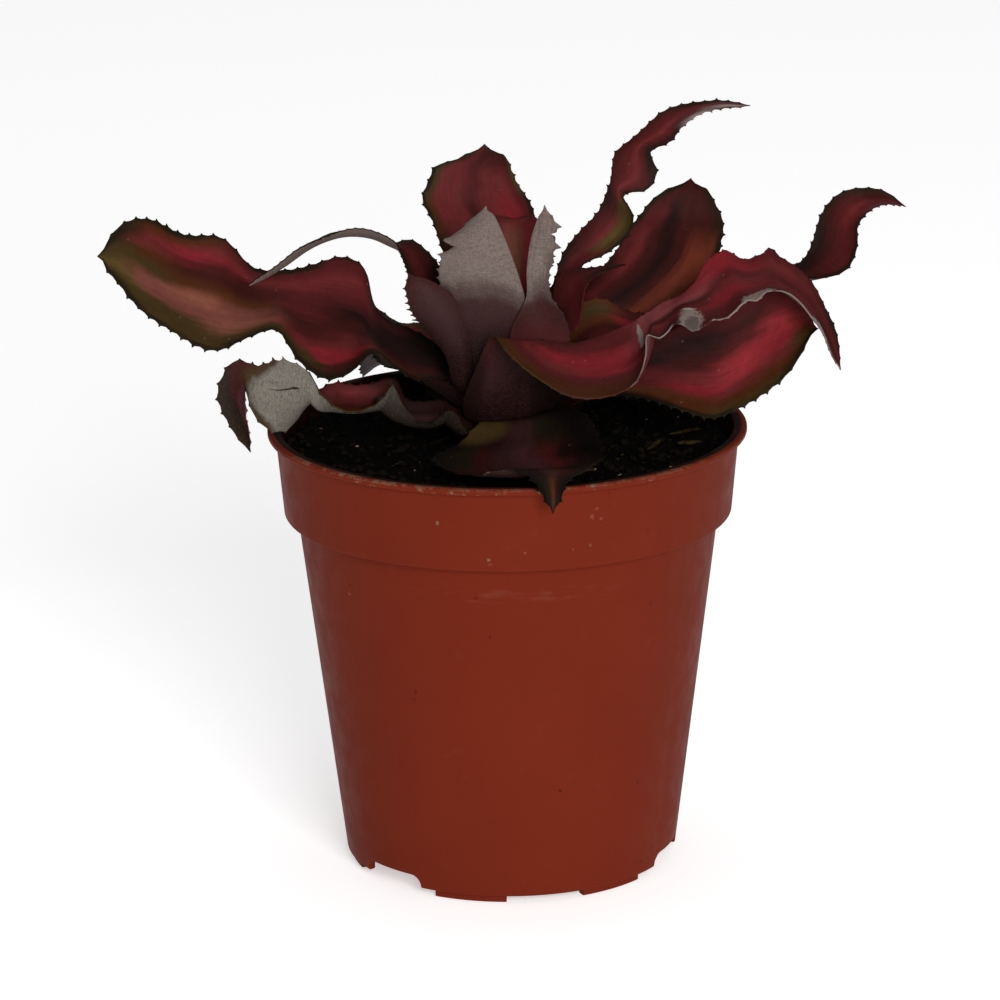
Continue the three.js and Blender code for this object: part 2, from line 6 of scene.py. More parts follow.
import bmesh
import bpy
from bpy.props import FloatProperty, FloatVectorProperty, IntProperty, PointerProperty
from mathutils import Matrix, Vector, noise


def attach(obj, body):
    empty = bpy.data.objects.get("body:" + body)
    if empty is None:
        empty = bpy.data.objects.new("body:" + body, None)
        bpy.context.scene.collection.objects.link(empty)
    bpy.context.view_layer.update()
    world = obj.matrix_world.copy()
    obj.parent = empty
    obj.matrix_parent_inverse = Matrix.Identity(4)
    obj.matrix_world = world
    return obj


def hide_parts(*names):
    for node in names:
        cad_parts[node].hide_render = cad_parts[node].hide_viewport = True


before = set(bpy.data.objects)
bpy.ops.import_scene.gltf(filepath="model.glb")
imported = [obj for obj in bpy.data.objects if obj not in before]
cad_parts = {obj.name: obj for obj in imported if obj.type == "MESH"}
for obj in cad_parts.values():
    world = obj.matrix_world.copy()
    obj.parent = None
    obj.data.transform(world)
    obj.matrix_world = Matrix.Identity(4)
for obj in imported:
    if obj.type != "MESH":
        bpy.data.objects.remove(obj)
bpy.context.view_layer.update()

bl_info = {
    "name": "Potted earth star",
    "version": (1, 0, 0),
    "blender": (4, 5, 0),
    "location": "3D View > Sidebar > Earth star",
    "description": "Builds the pot, the soil and every leaf of a potted earth star around its solids",
    "category": "Add Mesh",
}

MM = 0.001
TURN = 2 * math.pi


def linear(code):
    """An sRGB hex code as linear red, green and blue."""
    channels = [int(code[i:i + 2], 16) / 255 for i in (0, 2, 4)]
    return [c / 12.92 if c <= 0.04045 else ((c + 0.055) / 1.055) ** 2.4 for c in channels]


# Each leaf: where it sits on the stem (direction in degrees, height in mm), then pairs of edge places in mm
# from the stem outwards: left x, y, z, right x, y, z as seen from the stem, and the depth of the channel.
# stripes colours the upper face: at each share of the length, a name of the palette stands at so many percent
# of the way from the left edge to the right. patches adds blots to it: name, percent across, share of the
# length, and their half sizes likewise. tooth is the spacing of the teeth, their reach from the left and the
# right edge, and the toothless length next to the stem, all in mm. bites are notches in the margin, or spines
# and lobes where the depth is negative: edge, share of the length, half length and depth in mm. A lobe over
# 2 mm in half length hangs down as well.
Leaf = namedtuple("Leaf", "name slot at rows stripes patches outer tooth bites")

# The outer face: its tissue along the length, how much scurf covers it in percent, how blotched the scurf
# is, the scurf's colour, and blots as on the upper face.
Back = namedtuple("Back", "tissue cover blotched scurf marks", defaults=[()])

MARGINS = [("maroon", 0, 0.6, 18, 0.9), ("maroon", 100, 0.6, 18, 0.9), ("wine", 50, 0.5, 7, 0.8),
           ("olive", 0, 0.85, 9, 0.4), ("olive", 100, 0.85, 9, 0.4)]
PLAIN_BACK = Back("0 dark, 30 wine, 60 plum, 100 umber", "0 0, 20 20, 60 55, 100 60", 0.1, "silver", MARGINS)
# The leaves behind get a dark outer face with hardly any scurf: painted shade.
SHADED_BACK = Back("0 dark, 60 dark, 85 purple, 100 soot", "0 0, 30 4, 70 8, 90 6, 100 0", 0.2, "silver")

LEAVES = [
    Leaf("leaf_far_left", "leaf_red", (180, 87.2), [
        (-11.5, -4, 94, -13, 3, 99, 1.6), (-16.5, -6, 94.5, -18.5, 6, 101.5, 1.8),
        (-21, -8, 98, -22, 8, 102.5, 1.8), (-24.5, -9, 101, -25, 9, 105.5, 2),
        (-29, -9, 97, -26.5, 10, 112, 2.2), (-33.5, -9, 96, -30.5, 10, 114.5, 2.4),
        (-38.5, -8, 99.5, -36.5, 9, 113, 2), (-42.5, -7, 105, -41.5, 8, 112, 1.8),
        (-48, -8, 103.5, -47, 7, 113, 1.8), (-54, -9, 101.5, -53, 6, 119, 2),
        (-60.5, -9, 104.5, -59.5, 5, 120, 1.6), (-67, -8, 109, -66, 3, 123.5, 1.2),
        (-72, -7, 114.5, -71, 0, 123.5, 0.8), (-75.5, -5, 118, -75.5, -4, 119, 0)],
        {0.16: "0 dark, 25 maroon, 45 dark, 100 soot",
         0.28: "0 shade, 12 umber, 30 maroon, 52 dark, 80 dark, 93 maroon, 100 dark",
         0.38: "0 shade, 8 maroon, 18 crimson, 30 red, 45 maroon, 58 dark, 72 wine, 84 red, 94 wine, "
               "100 shade",
         0.50: "0 shade, 8 olive, 24 red, 40 maroon, 56 wine, 70 wine, 84 red, 95 wine, 100 shade",
         0.62: "0 shade, 8 olive, 22 salmon, 38 brick, 52 umber, 64 maroon, 76 maroon, 88 red, 96 wine, "
               "100 shade",
         0.76: "0 shade, 5 olive, 15 olive, 30 brick, 44 salmon, 56 umber, 70 maroon, 84 crimson, "
               "95 umber, 100 shade",
         0.87: "0 shade, 6 olive, 15 olive, 28 brick, 42 brick, 54 olive, 66 umber, 80 red, 92 umber, "
               "100 shade",
         0.96: "0 shade, 25 moss, 60 olive, 90 shade, 100 shade"},
        [("crimson", 20, 0.42, 9, 0.05)],
        PLAIN_BACK, (2.3, 0.85, 0.6, 8), []),
    Leaf("leaf_thin_left", "leaf_maroon", (187, 92), [
        (-13, -3, 103.5, -9, 1, 104.5, 1), (-16, -4, 109.5, -11.5, 0, 110, 1),
        (-17.8, -5.5, 114.5, -12.5, 0, 115, 1), (-19, -7.5, 118.8, -17.5, 0.4, 119.8, 0.8),
        (-20, -8, 121.4, -20.5, -0.6, 119.2, 0.6), (-24.5, -8.6, 123.8, -24.5, -1.4, 121, 0.5),
        (-29, -8.6, 124, -29.5, -1.4, 121.6, 0.5), (-33.5, -8.5, 123, -33.5, -1.6, 120.6, 0.5),
        (-38, -8.4, 120.9, -37.5, -1.8, 118.4, 0.4), (-41.5, -8.2, 118, -41, -2.8, 116, 0.3),
        (-44.5, -7.2, 115.6, -44, -4, 114.2, 0.2), (-47.5, -6, 113.3, -47.5, -6, 112.7, 0)],
        {0.2: "0 dark, 50 maroon, 100 dark", 0.5: "0 shade, 40 wine, 80 maroon, 100 shade",
         0.9: "0 shade, 50 taupe, 100 shade"},
        [], Back("0 dark, 40 wine, 55 plum, 100 plum", "0 0, 36 0, 50 80, 100 80", 0.1, "silver"),
        (1.5, 0.6, 0.5, 14), []),
    Leaf("leaf_small_left", "leaf_maroon", (214, 90), [
        (-6, -8.5, 94.5, -10, -6.8, 94, 0.6), (-6.5, -9.9, 101, -11, -9.5, 99.5, 1),
        (-7.6, -9.9, 107, -14.5, -9.6, 105, 1.6), (-9.4, -9.9, 111.2, -17, -10.2, 108, 1.8),
        (-12, -10.6, 113.6, -18, -10.6, 111, 1.3), (-15, -10.9, 115.2, -18.5, -10.8, 114, 0.5),
        (-17.8, -10, 116, -18.3, -10, 116, 0)],
        {0.3: "0 dark, 40 maroon, 100 dark", 0.8: "0 shade, 40 wine, 100 shade"},
        [], Back("0 dark, 40 dark, 70 purple, 100 maroon", "0 0, 60 0, 100 3", 0.0, "silver"),
        (1.45, 0.0, 0.9, 19), []),
    Leaf("leaf_back_left", "leaf_red", (112, 91), [
        (-7, 7.5, 99, -0.5, 8, 99, 1), (-9.5, 9, 109, 2.5, 9.5, 109, 1.4),
        (-12, 10.5, 116, 5, 11.5, 116, 1.6), (-13.5, 12, 120.5, 5.5, 13, 121.5, 1.6),
        (-15.5, 14, 124.5, 4, 15, 124.5, 1.4), (-14, 15, 128, 2.5, 16, 126.5, 1),
        (-13, 16, 130.3, 1.4, 17, 128.5, 0.6), (-8.5, 17, 131.3, 0.6, 17, 131.2, 0.4),
        (-5.6, 17.8, 133.4, -1.6, 18, 133, 0), (-4.2, 18, 134, -3.2, 18, 133.9, 0)],
        {0.3: "0 shade, 20 wine, 50 maroon, 80 wine, 100 shade",
         0.66: "0 shade, 5 umber, 14 red, 32 red, 46 maroon, 60 red, 80 crimson, 95 wine, 100 shade",
         0.84: "0 shade, 5 olive, 14 red, 32 red, 52 wine, 66 red, 80 red, 96 wine, 100 shade",
         0.96: "0 shade, 25 wine, 60 maroon, 85 maroon, 100 shade"},
        [("olive", 99, 0.86, 5, 0.1)], PLAIN_BACK, (2.0, 0.5, 0.5, 8), []),
    Leaf("leaf_inner_back", "leaf_maroon", (70, 96), [
        (-1, 3.5, 107.5, 4, 3.5, 107.5, 0.8), (-2, 4.5, 115, 5.5, 4.5, 115, 0.9),
        (-3, 5.2, 119.8, 6, 5.2, 119.8, 0.9), (-2.8, 5.9, 122.2, 6, 5.9, 122.2, 1.2),
        (-1.5, 8, 122.4, 4.8, 8, 122.4, 1.0), (1.6, 9.6, 121, 2.4, 9.6, 121, 0)],
        {0.2: "0 wine, 50 maroon, 100 wine",
         # The salmon middle at 0.6 is lightened against the shade it lies in: painted light.
         0.6: "0 wine, 15 red, 40 salmon, 62 salmon, 86 scarlet, 100 wine",
         0.9: "0 wine, 50 red, 100 wine"},
        [], PLAIN_BACK, (1.5, 0.4, 0.4, 8), []),
    Leaf("leaf_inner_left", "leaf_silver", (240, 92.5), [
        (-1.5, -8, 97, -8, -7, 97, 1), (2.2, -9.2, 104, -11, -8, 105, 1.4),
        (3.7, -9.9, 109.2, -11.7, -9, 111, 1.6), (2.6, -10.1, 114.6, -12.2, -9.5, 116, 1.6),
        (0.5, -9.5, 120.6, -11.4, -8.8, 119.6, 1.3), (-0.9, -8.6, 124, -10.3, -7.9, 122, 0.9),
        (-1.9, -7.6, 126, -7.4, -6.8, 124.3, 0.5), (-3.2, -6.5, 127.7, -3.7, -6.5, 127.6, 0)],
        {0.3: "0 wine, 50 maroon, 100 wine", 0.8: "0 shade, 30 red, 70 red, 100 shade"},
        [], Back("0 dark, 30 dark, 48 purple, 60 purple, 100 plum", "0 0, 53 3, 60 30, 68 88, 100 98", 0.05,
                 "silver"),
        (1.9, 0.0, 0.6, 16),
        [(100, 0.8, 1.2, 2.0), (100, 0.762, 0.6, -0.6), (100, 0.845, 0.6, -1.3), (100, 0.9, 0.9, 0.9)]),
    Leaf("leaf_inner_right", "leaf_silver", (305, 93), [
        (9, -5.5, 97, 1.5, -8.5, 97.5, 1.2), (11.5, -6.5, 102.5, 0.6, -10.5, 104, 1.5),
        (10.8, -7, 106.5, 2.3, -11, 108.5, 1.2), (8.4, -8, 110.3, 3.6, -10.8, 111.5, 0.8),
        (8, -8, 115, 3.8, -9.8, 116.5, 0.7), (9, -8, 120, 4.6, -8.7, 121.5, 0.6),
        (9.4, -7.4, 124, 5.8, -7.7, 125, 0.3), (7.5, -7, 127.9, 7, -7, 127.9, 0)],
        {0.3: "0 wine, 50 maroon, 100 wine", 0.8: "0 shade, 50 red, 100 shade"},
        [], Back("0 dark, 20 dark, 34 wine, 48 maroon, 60 purple, 100 plum",
                 "0 0, 52 3, 60 50, 68 92, 100 88", 0.0, "silver"), (1.8, 0.7, 0.0, 8),
        [(0, 0.73, 0.6, -0.7), (0, 0.81, 0.6, -1.2), (0, 0.86, 0.6, 1.4), (0, 0.91, 0.6, -1.2)]),
    Leaf("leaf_small_right", "leaf_red", (5, 95), [
        (8.5, 1, 106.5, 10.2, -4.5, 101.5, 0.8), (9.8, 2.5, 112, 13.2, -5, 104, 0.9),
        (12.7, 2.6, 113.4, 14.5, -3, 110.5, 0.7), (16, 1.8, 113.8, 16.2, -1, 112.8, 0.4),
        (19, 1.4, 114.3, 19.1, 0.2, 113.9, 0.2), (22.4, 1, 114.6, 22.4, 0.6, 114.5, 0)],
        {0.4: "0 maroon, 30 maroon, 60 dark, 100 maroon", 0.6: "0 maroon, 40 wine, 100 wine",
         0.85: "0 dark, 50 maroon, 100 dark"},
        [], PLAIN_BACK, (1.6, 0.45, 0.45, 8), []),
    Leaf("leaf_lobed_back_right", "leaf_red", (60, 90.5), [
        (12.5, 11, 102, 17.5, 9, 97.5, 1.2), (15, 11.5, 107.5, 25.5, 11, 100.5, 1.6),
        (18, 11.5, 111, 34.5, 12.5, 105.6, 1.8), (21, 11.5, 114.7, 39.5, 12.5, 111, 1.8),
        (23, 11.5, 118.2, 40.5, 12, 115.5, 1.6), (25.5, 11.5, 121.3, 41, 11.5, 119.8, 1.4),
        (27.5, 12, 124, 39.5, 12.5, 123.3, 1.1), (30.5, 13, 126, 38, 13, 126, 0.6),
        (34.5, 13, 128, 35.5, 13, 128, 0)],
        {0.25: "0 shade, 15 wine, 50 maroon, 100 wine",
         0.5: "0 maroon, 14 wine, 28 maroon, 46 dark, 60 maroon, 78 russet, 94 umber, 100 shade",
         0.68: "0 shade, 6 wine, 16 red, 30 maroon, 46 dark, 60 maroon, 76 russet, 93 russet, 100 shade",
         0.86: "0 shade, 8 wine, 22 wine, 40 dark, 56 maroon, 80 maroon, 100 shade",
         0.96: "0 shade, 30 maroon, 80 maroon, 100 shade"},
        [], PLAIN_BACK, (2.1, 0.5, 0.5, 8), []),
    Leaf("leaf_tall_back_right", "leaf_red", (62, 94.5), [
        (8.4, 7.5, 108, 12, 6.5, 107.5, 0.8), (11, 8.5, 115.2, 14.2, 7.5, 112.7, 1),
        (14.2, 9.5, 119, 19.2, 8.5, 115, 1.2), (17.6, 10.5, 122.4, 23.5, 9.5, 118.8, 1.2),
        (19, 11, 125.6, 24, 10, 122, 1), (20, 12, 128, 22, 12, 125.4, 0.6),
        (20.3, 12, 130.8, 27, 13, 126, 1), (20.9, 12, 133.3, 28.7, 14, 129.5, 1),
        (23.4, 12, 135.4, 27.2, 14, 133, 0.7), (27, 12, 138.7, 31.5, 14, 135.2, 0.7),
        (30, 12, 141, 33, 14, 137.5, 0.5), (35, 12, 142.6, 36.5, 13, 140.3, 0.4),
        (40.5, 12, 143, 41, 12, 141.6, 0.2), (46, 11, 142.5, 46, 11, 142, 0)],
        {0.15: "0 maroon, 40 wine, 100 wine",
         0.33: "0 dark, 30 maroon, 55 wine, 80 wine, 95 wine, 100 shade",
         0.42: "0 maroon, 25 wine, 48 red, 72 moss, 92 olive, 100 shade",
         0.5: "0 dark, 30 maroon, 55 olive, 90 olive, 100 shade",
         0.57: "0 maroon, 35 wine, 62 red, 85 wine, 100 shade",
         0.66: "0 maroon, 30 wine, 50 red, 64 wine, 88 shade, 100 shade",
         0.76: "0 maroon, 35 wine, 55 red, 70 wine, 100 dark",
         0.85: "0 shade, 35 wine, 75 plum, 100 silver",
         0.94: "0 shade, 30 plum, 70 silver, 100 plum"},
        [], PLAIN_BACK, (2.0, 0.5, 0.5, 8), []),
    Leaf("leaf_far_right", "leaf_red", (5, 87.5), [
        (12, 4.5, 104.5, 14.5, -0.5, 100, 1), (17, 4.5, 107, 19, -0.5, 101.5, 1.2),
        (25, 5, 104, 26, 0, 101, 1.2), (34.5, 7, 106.3, 35.5, 1.5, 103.5, 1.2),
        (44, 10, 109.7, 44.5, 4, 107.5, 1.2), (52, 13.5, 111, 53.5, 7.5, 109.3, 1.2),
        (56, 16, 111, 59.5, 10.5, 109, 1), (58, 17, 114, 64.5, 12.5, 110.5, 1.2),
        (59, 18, 117.5, 66.5, 14.5, 114.5, 1.2), (60.5, 19, 120.5, 66.5, 15.5, 118, 1),
        (63.5, 19, 123.5, 68.5, 16.5, 120.5, 0.8), (67.5, 19, 124.5, 71, 17, 121.7, 0.6),
        (71.5, 19, 124, 73.5, 18, 121.5, 0.4), (75.8, 18, 121.2, 75.8, 18, 120.6, 0)],
        {0.16: "0 olive, 30 olive, 55 umber, 80 maroon, 100 dark",
         0.24: "0 umber, 25 olive, 50 umber, 75 maroon, 100 wine",
         0.32: "0 maroon, 20 wine, 45 crimson, 75 wine, 100 maroon",
         0.68: "0 dark, 25 dark, 60 maroon, 85 maroon, 100 dark",
         0.78: "0 shade, 15 dark, 35 maroon, 64 wine, 88 wine, 100 shade",
         0.86: "0 shade, 15 maroon, 40 wine, 64 red, 88 wine, 100 shade",
         0.93: "0 shade, 50 maroon, 80 wine, 100 plum"},
        [], PLAIN_BACK, (2.0, 0.5, 0.5, 8), []),
    Leaf("leaf_long_right", "leaf_red", (275, 86), [
        (7, -7.5, 87.6, -7.5, -7.5, 87, 1.4), (7.8, -10, 91.6, -8.2, -10.2, 91, 1.8),
        (7, -14, 101.5, -5.5, -14, 99.5, 1.6),
        (5.5, -17.5, 105, -2.5, -17, 106, 0.8), (7.5, -17, 104.5, 0, -24, 104.5, 1),
        (12, -15, 103.5, 5.5, -28, 100.5, 1.8), (17.5, -13, 104.5, 10.5, -30, 98, 2.4),
        (20.5, -12, 105.5, 17, -30, 97.5, 2.6), (23, -11, 106, 23, -28, 99, 2.2),
        (25, -10, 107, 25.5, -24, 103.5, 1.4), (27, -9.5, 108, 25.5, -21, 107, 1.2),
        (29, -8.5, 109.5, 28, -20, 106, 1.4), (32, -7.5, 110.5, 32, -18, 110, 1.2),
        (35, -6, 112.5, 36.5, -18, 109, 1.6), (37.5, -3, 116, 40.5, -18, 109, 1.9),
        (40.5, -2, 117.5, 44, -16.5, 111.5, 1.8), (44.5, -2, 115.5, 46.5, -15.5, 113, 1.6),
        (49, -1.5, 117, 50.5, -15, 113, 1.6), (53, -3, 115.3, 53.5, -15, 111, 1.4),
        (56.5, -6, 112.5, 56, -15, 108.5, 1), (59, -9, 108, 58, -15, 105.5, 0.7),
        (61, -12, 103.5, 59.5, -15, 102, 0.4), (61.6, -14.8, 98, 61.4, -15.4, 98, 0)],
        {0.24: "0 maroon, 30 wine, 60 wine, 80 umber, 97 umber, 100 olive",
         0.33: "0 maroon, 12 wine, 26 crimson, 46 red, 62 wine, 84 umber, 98 umber, 100 olive",
         0.42: "0 wine, 14 wine, 30 crimson, 50 crimson, 66 wine, 86 umber, 98 umber, 100 plum",
         # The rose at the left edge of 0.52 and 0.6 is partly a painted highlight.
         0.52: "0 rose, 30 rose, 45 maroon, 60 red, 85 wine, 99 maroon, 100 silver",
         0.6: "0 red, 26 rose, 40 maroon, 50 wine, 66 red, 85 wine, 99 maroon, 100 silver",
         0.7: "0 crimson, 16 crimson, 30 wine, 42 red, 60 crimson, 80 wine, 99 wine, 100 silver",
         0.8: "0 wine, 25 red, 50 wine, 75 red, 99 wine, 100 silver",
         0.93: "0 shade, 40 wine, 75 maroon, 96 plum, 100 silver"},
        # The drab blot in the second silver patch is painted shade on its lower part.
        [("silver", 24, 0.482, 18, 0.009), ("silver", 86, 0.612, 28, 0.021), ("drab", 92, 0.615, 15, 0.012),
         ("ash", 62, 0.61, 5, 0.016), ("silver", 96, 0.74, 14, 0.035), ("silver", 99, 0.9, 16, 0.03)],
        Back("0 dark, 8 dark, 18 purple, 24 maroon, 44 maroon, 50 red, 58 wine, 100 wine",
             "0 0, 54 0, 58 40, 66 30, 78 50, 100 60", 0.0, "silver",
             [("dark", 0, 0.1, 26, 0.1), ("dark", 100, 0.1, 22, 0.1)]), (1.8, 0.6, 0.4, 24),
        [(100, 0.612, 3.4, -3.0), (100, 0.735, 2.4, -1.2), (0, 0.787, 1.4, -2.4), (0, 0.715, 0.9, -0.9)]),
    Leaf("leaf_low_right", "leaf_red", (340, 83.2), [
        (16.5, -3.5, 96, 16.5, -8.5, 91.5, 1.2), (26, -4, 101, 24.5, -11, 92, 1.6),
        (34, -3, 104, 32, -12, 90, 2), (41, -2.5, 106, 38, -13, 88.5, 2.2),
        (46.5, -1.6, 109, 43, -12, 90.2, 2.2), (51, -1.6, 110, 48, -11, 93, 1.8),
        (54, -2.6, 109.4, 52, -10, 96, 1.4), (56, -3.8, 107.4, 54.5, -9, 99.5, 1),
        (57.3, -5, 105, 56, -8, 102, 0.5), (58, -6, 103.8, 57.7, -6.6, 103.6, 0)],
        {0.25: "0 maroon, 60 maroon, 85 umber, 100 soot",
         0.45: "0 maroon, 35 dark, 58 wine, 72 wine, 86 umber, 100 soot",
         0.6: "0 wine, 18 dark, 44 maroon, 60 red, 72 crimson, 84 umber, 96 umber, 100 shade",
         0.75: "0 wine, 22 maroon, 34 wine, 46 scarlet, 66 scarlet, 79 red, 89 umber, 97 olive, 100 shade",
         0.88: "0 wine, 14 red, 30 scarlet, 50 crimson, 68 red, 84 umber, 94 olive, 100 shade",
         0.96: "0 umber, 16 red, 34 umber, 60 olive, 100 shade"},
        [], PLAIN_BACK, (2.2, 0.5, 0.8, 8), []),
    Leaf("leaf_heart_left", "leaf_maroon", (165, 96.3), [
        (-3.4, -2.4, 101, -3.6, 2.4, 101, 0.7), (-3.8, -2.2, 106, -4.2, 2.2, 106, 0.6),
        (-4, -1.2, 110, -4.4, 1.2, 110, 0.3), (-4.3, -0.3, 112.5, -4.3, 0.3, 112.5, 0)],
        {0.5: "0 wine, 50 brick, 100 wine"}, [], PLAIN_BACK, (1.4, 0.3, 0.3, 8), []),
    Leaf("leaf_heart_right", "leaf_maroon", (350, 97), [
        (3.4, 1.4, 101.5, 3.9, -3.2, 101, 0.7), (3.9, 1.4, 106, 4.7, -3.2, 105.5, 0.6),
        (4.4, 0.6, 110, 5.1, -2.2, 109.5, 0.3), (5, -0.5, 112.3, 5, -1.1, 112.3, 0)],
        {0.5: "0 wine, 50 brick, 100 wine"}, [], PLAIN_BACK, (1.4, 0.3, 0.3, 8), []),
    Leaf("leaf_low_left", "leaf_silver", (222, 83), [
        (-4, -11.5, 86, -8, -5, 88.5, 1.4), (-7, -13, 85, -10, -5.5, 89, 1.4),
        (-10.5, -13.5, 91, -12, -6, 90.5, 3), (-14.5, -13.5, 88, -15, -6.5, 90.5, 2.4),
        (-19, -13.5, 91.5, -19, -7, 91, 3.6), (-21, -12.5, 96, -21, -7.5, 95, 6),
        (-24, -13.5, 92.5, -24.5, -7.5, 94.5, 3.4), (-29, -14.5, 91, -28.5, -8.5, 94.5, 2.4),
        (-34, -13.5, 93.5, -33, -8.5, 94.5, 4.2), (-37, -11.5, 98, -37.3, -9.5, 90.5, 1.8),
        (-41, -11.5, 100, -40.8, -11, 86.6, 1.2), (-43.5, -12.5, 100, -44.2, -12.3, 87, 1),
        (-46, -14, 99.5, -47.3, -11.3, 90.8, 1), (-50, -16, 101.3, -48, -11.5, 95.5, 0.8),
        (-53, -18, 96, -48.5, -13.5, 92.5, 0.8), (-51.5, -19, 91, -48, -15, 88.5, 0.6),
        (-49.7, -18, 87, -47.5, -16, 86, 0.3), (-47.8, -17, 84, -47.2, -16.8, 84, 0)],
        {0.1: "0 shade, 30 shade, 70 dark, 100 dark",
         0.24: "0 shade, 30 shade, 60 purple, 80 dark, 100 dark",
         0.36: "0 olive, 25 shade, 60 maroon, 100 dark",
         0.48: "0 olive, 22 umber, 46 maroon, 72 wine, 88 red, 100 wine",
         0.58: "0 olive, 30 umber, 70 maroon, 100 wine"},
        # Toward the stem the outer face is darkened and its scurf thinned: painted shade.
        [], Back("0 soot, 30 shade, 50 shade, 58 purple, 73 purple, 77 olive, 84 maroon, 90 shade, 100 shade",
                 "0 0, 18 4, 34 12, 44 26, 55 92, 73 96, 77 0, 100 0", 0.4, "pewter",
                 [("shade", 38, 0.655, 1.1, 0.045), ("shade", 37, 0.628, 1.6, 0.012),
                  ("plum", 72, 0.86, 22, 0.07), ("taupe", 97, 0.9, 9, 0.09)]), (2.4, 0.75, 0.75, 8),
        [(100, 0.9, 1.5, 0.6)]),
    Leaf("leaf_front", "leaf_maroon", (281, 82.8), [
        (10, -12.5, 91.3, -5, -12.5, 88.3, 1.6), (15, -18, 90, -9, -16.5, 85, 1.6),
        (17, -24, 87.3, -13.5, -23, 84.5, 1.6), (16.8, -32, 86, -12, -31, 84.5, 1.2),
        (14.2, -37.5, 86.2, -5, -37.5, 85.3, 0.8), (14.6, -40.6, 86.9, 0.2, -40.9, 87.2, 0.5),
        (11.8, -43.2, 86.5, 3.6, -43.5, 86.5, 0.2), (10.3, -45.8, 85.7, 5.2, -46.1, 85.7, 0),
        (9.4, -48, 83.5, 6.6, -48.2, 83.5, 0), (8.2, -49, 81, 7.7, -49, 81, 0)],
        {0.15: "0 soot, 50 dark, 100 soot",
         0.3: "0 soot, 14 soot, 32 shade, 50 purple, 72 dark, 90 shade, 100 soot",
         0.45: "0 soot, 8 soot, 20 dark, 32 wine, 44 plum, 60 purple, 74 maroon, 86 shade, 100 soot",
         0.56: "0 soot, 10 dark, 28 wine, 42 plum, 58 purple, 74 maroon, 86 shade, 100 soot",
         0.66: "0 shade, 20 shade, 40 purple, 60 maroon, 80 maroon, 100 dark",
         0.78: "0 shade, 25 maroon, 50 purple, 75 dark, 100 shade",
         0.9: "0 soot, 30 dark, 50 umber, 70 shade, 100 soot"},
        [("olive", 86, 0.24, 26, 0.09), ("taupe", 97, 0.73, 12, 0.02), ("taupe", 3, 0.73, 12, 0.02)],
        Back("0 dark, 100 maroon", "0 0, 100 20", 0.1, "silver"), (2.4, 0.8, 0.8, 8),
        [(0, 0.74, 0.9, -1.4), (100, 0.75, 0.9, -1.6)]),
]

# The leaves behind are drawn by one rule: direction and height at the stem, length, half width, how steeply
# they set off, how far they droop, how far they roll on their side and where their ruffles start.
BackLeaf = namedtuple("BackLeaf", "name slot at length half_width rise droop roll phase")

BACK_LEAVES = [
    BackLeaf("leaf_back_outer_left", "leaf_red", (146, 85.2), 57, 8.5, 42, 22, 14, 0.4),
    BackLeaf("leaf_back_low_left", "leaf_maroon", (122, 82.8), 52, 8, 30, 44, -8, 2.1),
    BackLeaf("leaf_back_middle", "leaf_red", (88, 87), 50.5, 9, 42, 52, 10, 4.0),
    BackLeaf("leaf_back_low_right", "leaf_maroon", (58, 82.8), 53, 8, 28, 40, 8, 5.1),
    BackLeaf("leaf_back_outer_right", "leaf_red", (34, 85.2), 60, 8, 34, 44, -12, 3.0),
]
BACK_STRIPES = {
    0.12: "0 dark, 50 maroon, 100 dark",
    0.4: "0 shade, 8 olive, 24 crimson, 44 maroon, 56 maroon, 76 crimson, 92 olive, 100 shade",
    0.75: "0 shade, 10 moss, 26 salmon, 44 maroon, 56 wine, 74 red, 90 moss, 100 shade",
    0.95: "0 shade, 50 moss, 100 shade",
}

# The colours of the plant, the peat and what sticks to the pot, as sRGB hex values.
PALETTE = {
    "scarlet": "86292E", "crimson": "701C23", "red": "5C2021", "rose": "6E3436", "brick": "663830",
    "russet": "6A2F20", "wine": "481718", "maroon": "34120F", "dark": "1E0C0B", "soot": "0C0806",
    "peat": "120D08", "umber": "43210F", "olive": "382A13", "moss": "4C3D1E", "shade": "1C150B",
    "salmon": "764537", "taupe": "6B5040", "plum": "422327", "purple": "321C1B", "silver": "796C65",
    "pewter": "78746A", "drab": "574B47", "ash": "958D86", "straw": "7A6450",
}


class PotSettings(bpy.types.PropertyGroup):
    """Sizes and colours of the pot."""
    rim_radius: FloatProperty(name="Rim radius", description="Outside of the lip", default=45 * MM,
                              unit="LENGTH")
    height: FloatProperty(name="Height", description="From the feet to the rim", default=84.3 * MM,
                          unit="LENGTH")
    wall: FloatProperty(name="Wall", description="Thickness of the moulded wall", default=1.0 * MM,
                        unit="LENGTH")
    steps: IntProperty(name="Steps", description="Facets round the pot", default=192, min=48, max=360)
    colour: FloatVectorProperty(name="Colour", description="Dyed polypropylene", subtype="COLOR",
                                default=linear("682313"))


class SoilSettings(bpy.types.PropertyGroup):
    """Sizes and colours of the soil."""
    level: FloatProperty(name="Level", description="Mean height of the peat", default=80.6 * MM,
                         unit="LENGTH")
    crumbs: IntProperty(name="Crumbs", description="Loose bits on the soil", default=900, min=0, max=3000)
    colour: FloatVectorProperty(name="Colour", description="Moist peat", subtype="COLOR",
                                default=linear("0B0806"))


class LeafSettings(bpy.types.PropertyGroup):
    """Sizes of the leaves."""
    thickness: FloatProperty(name="Thickness", description="Of the blade along its middle", default=1.0 * MM,
                             unit="LENGTH")
    edge: FloatProperty(name="Edge", description="Thickness at the margin", default=0.26 * MM,
                        unit="LENGTH")
    ruffle: FloatProperty(name="Ruffle", description="Height of a margin's small waves", default=0.8 * MM,
                          unit="LENGTH")
    columns: IntProperty(name="Columns", description="Faces across a blade", default=26, min=8, max=60)


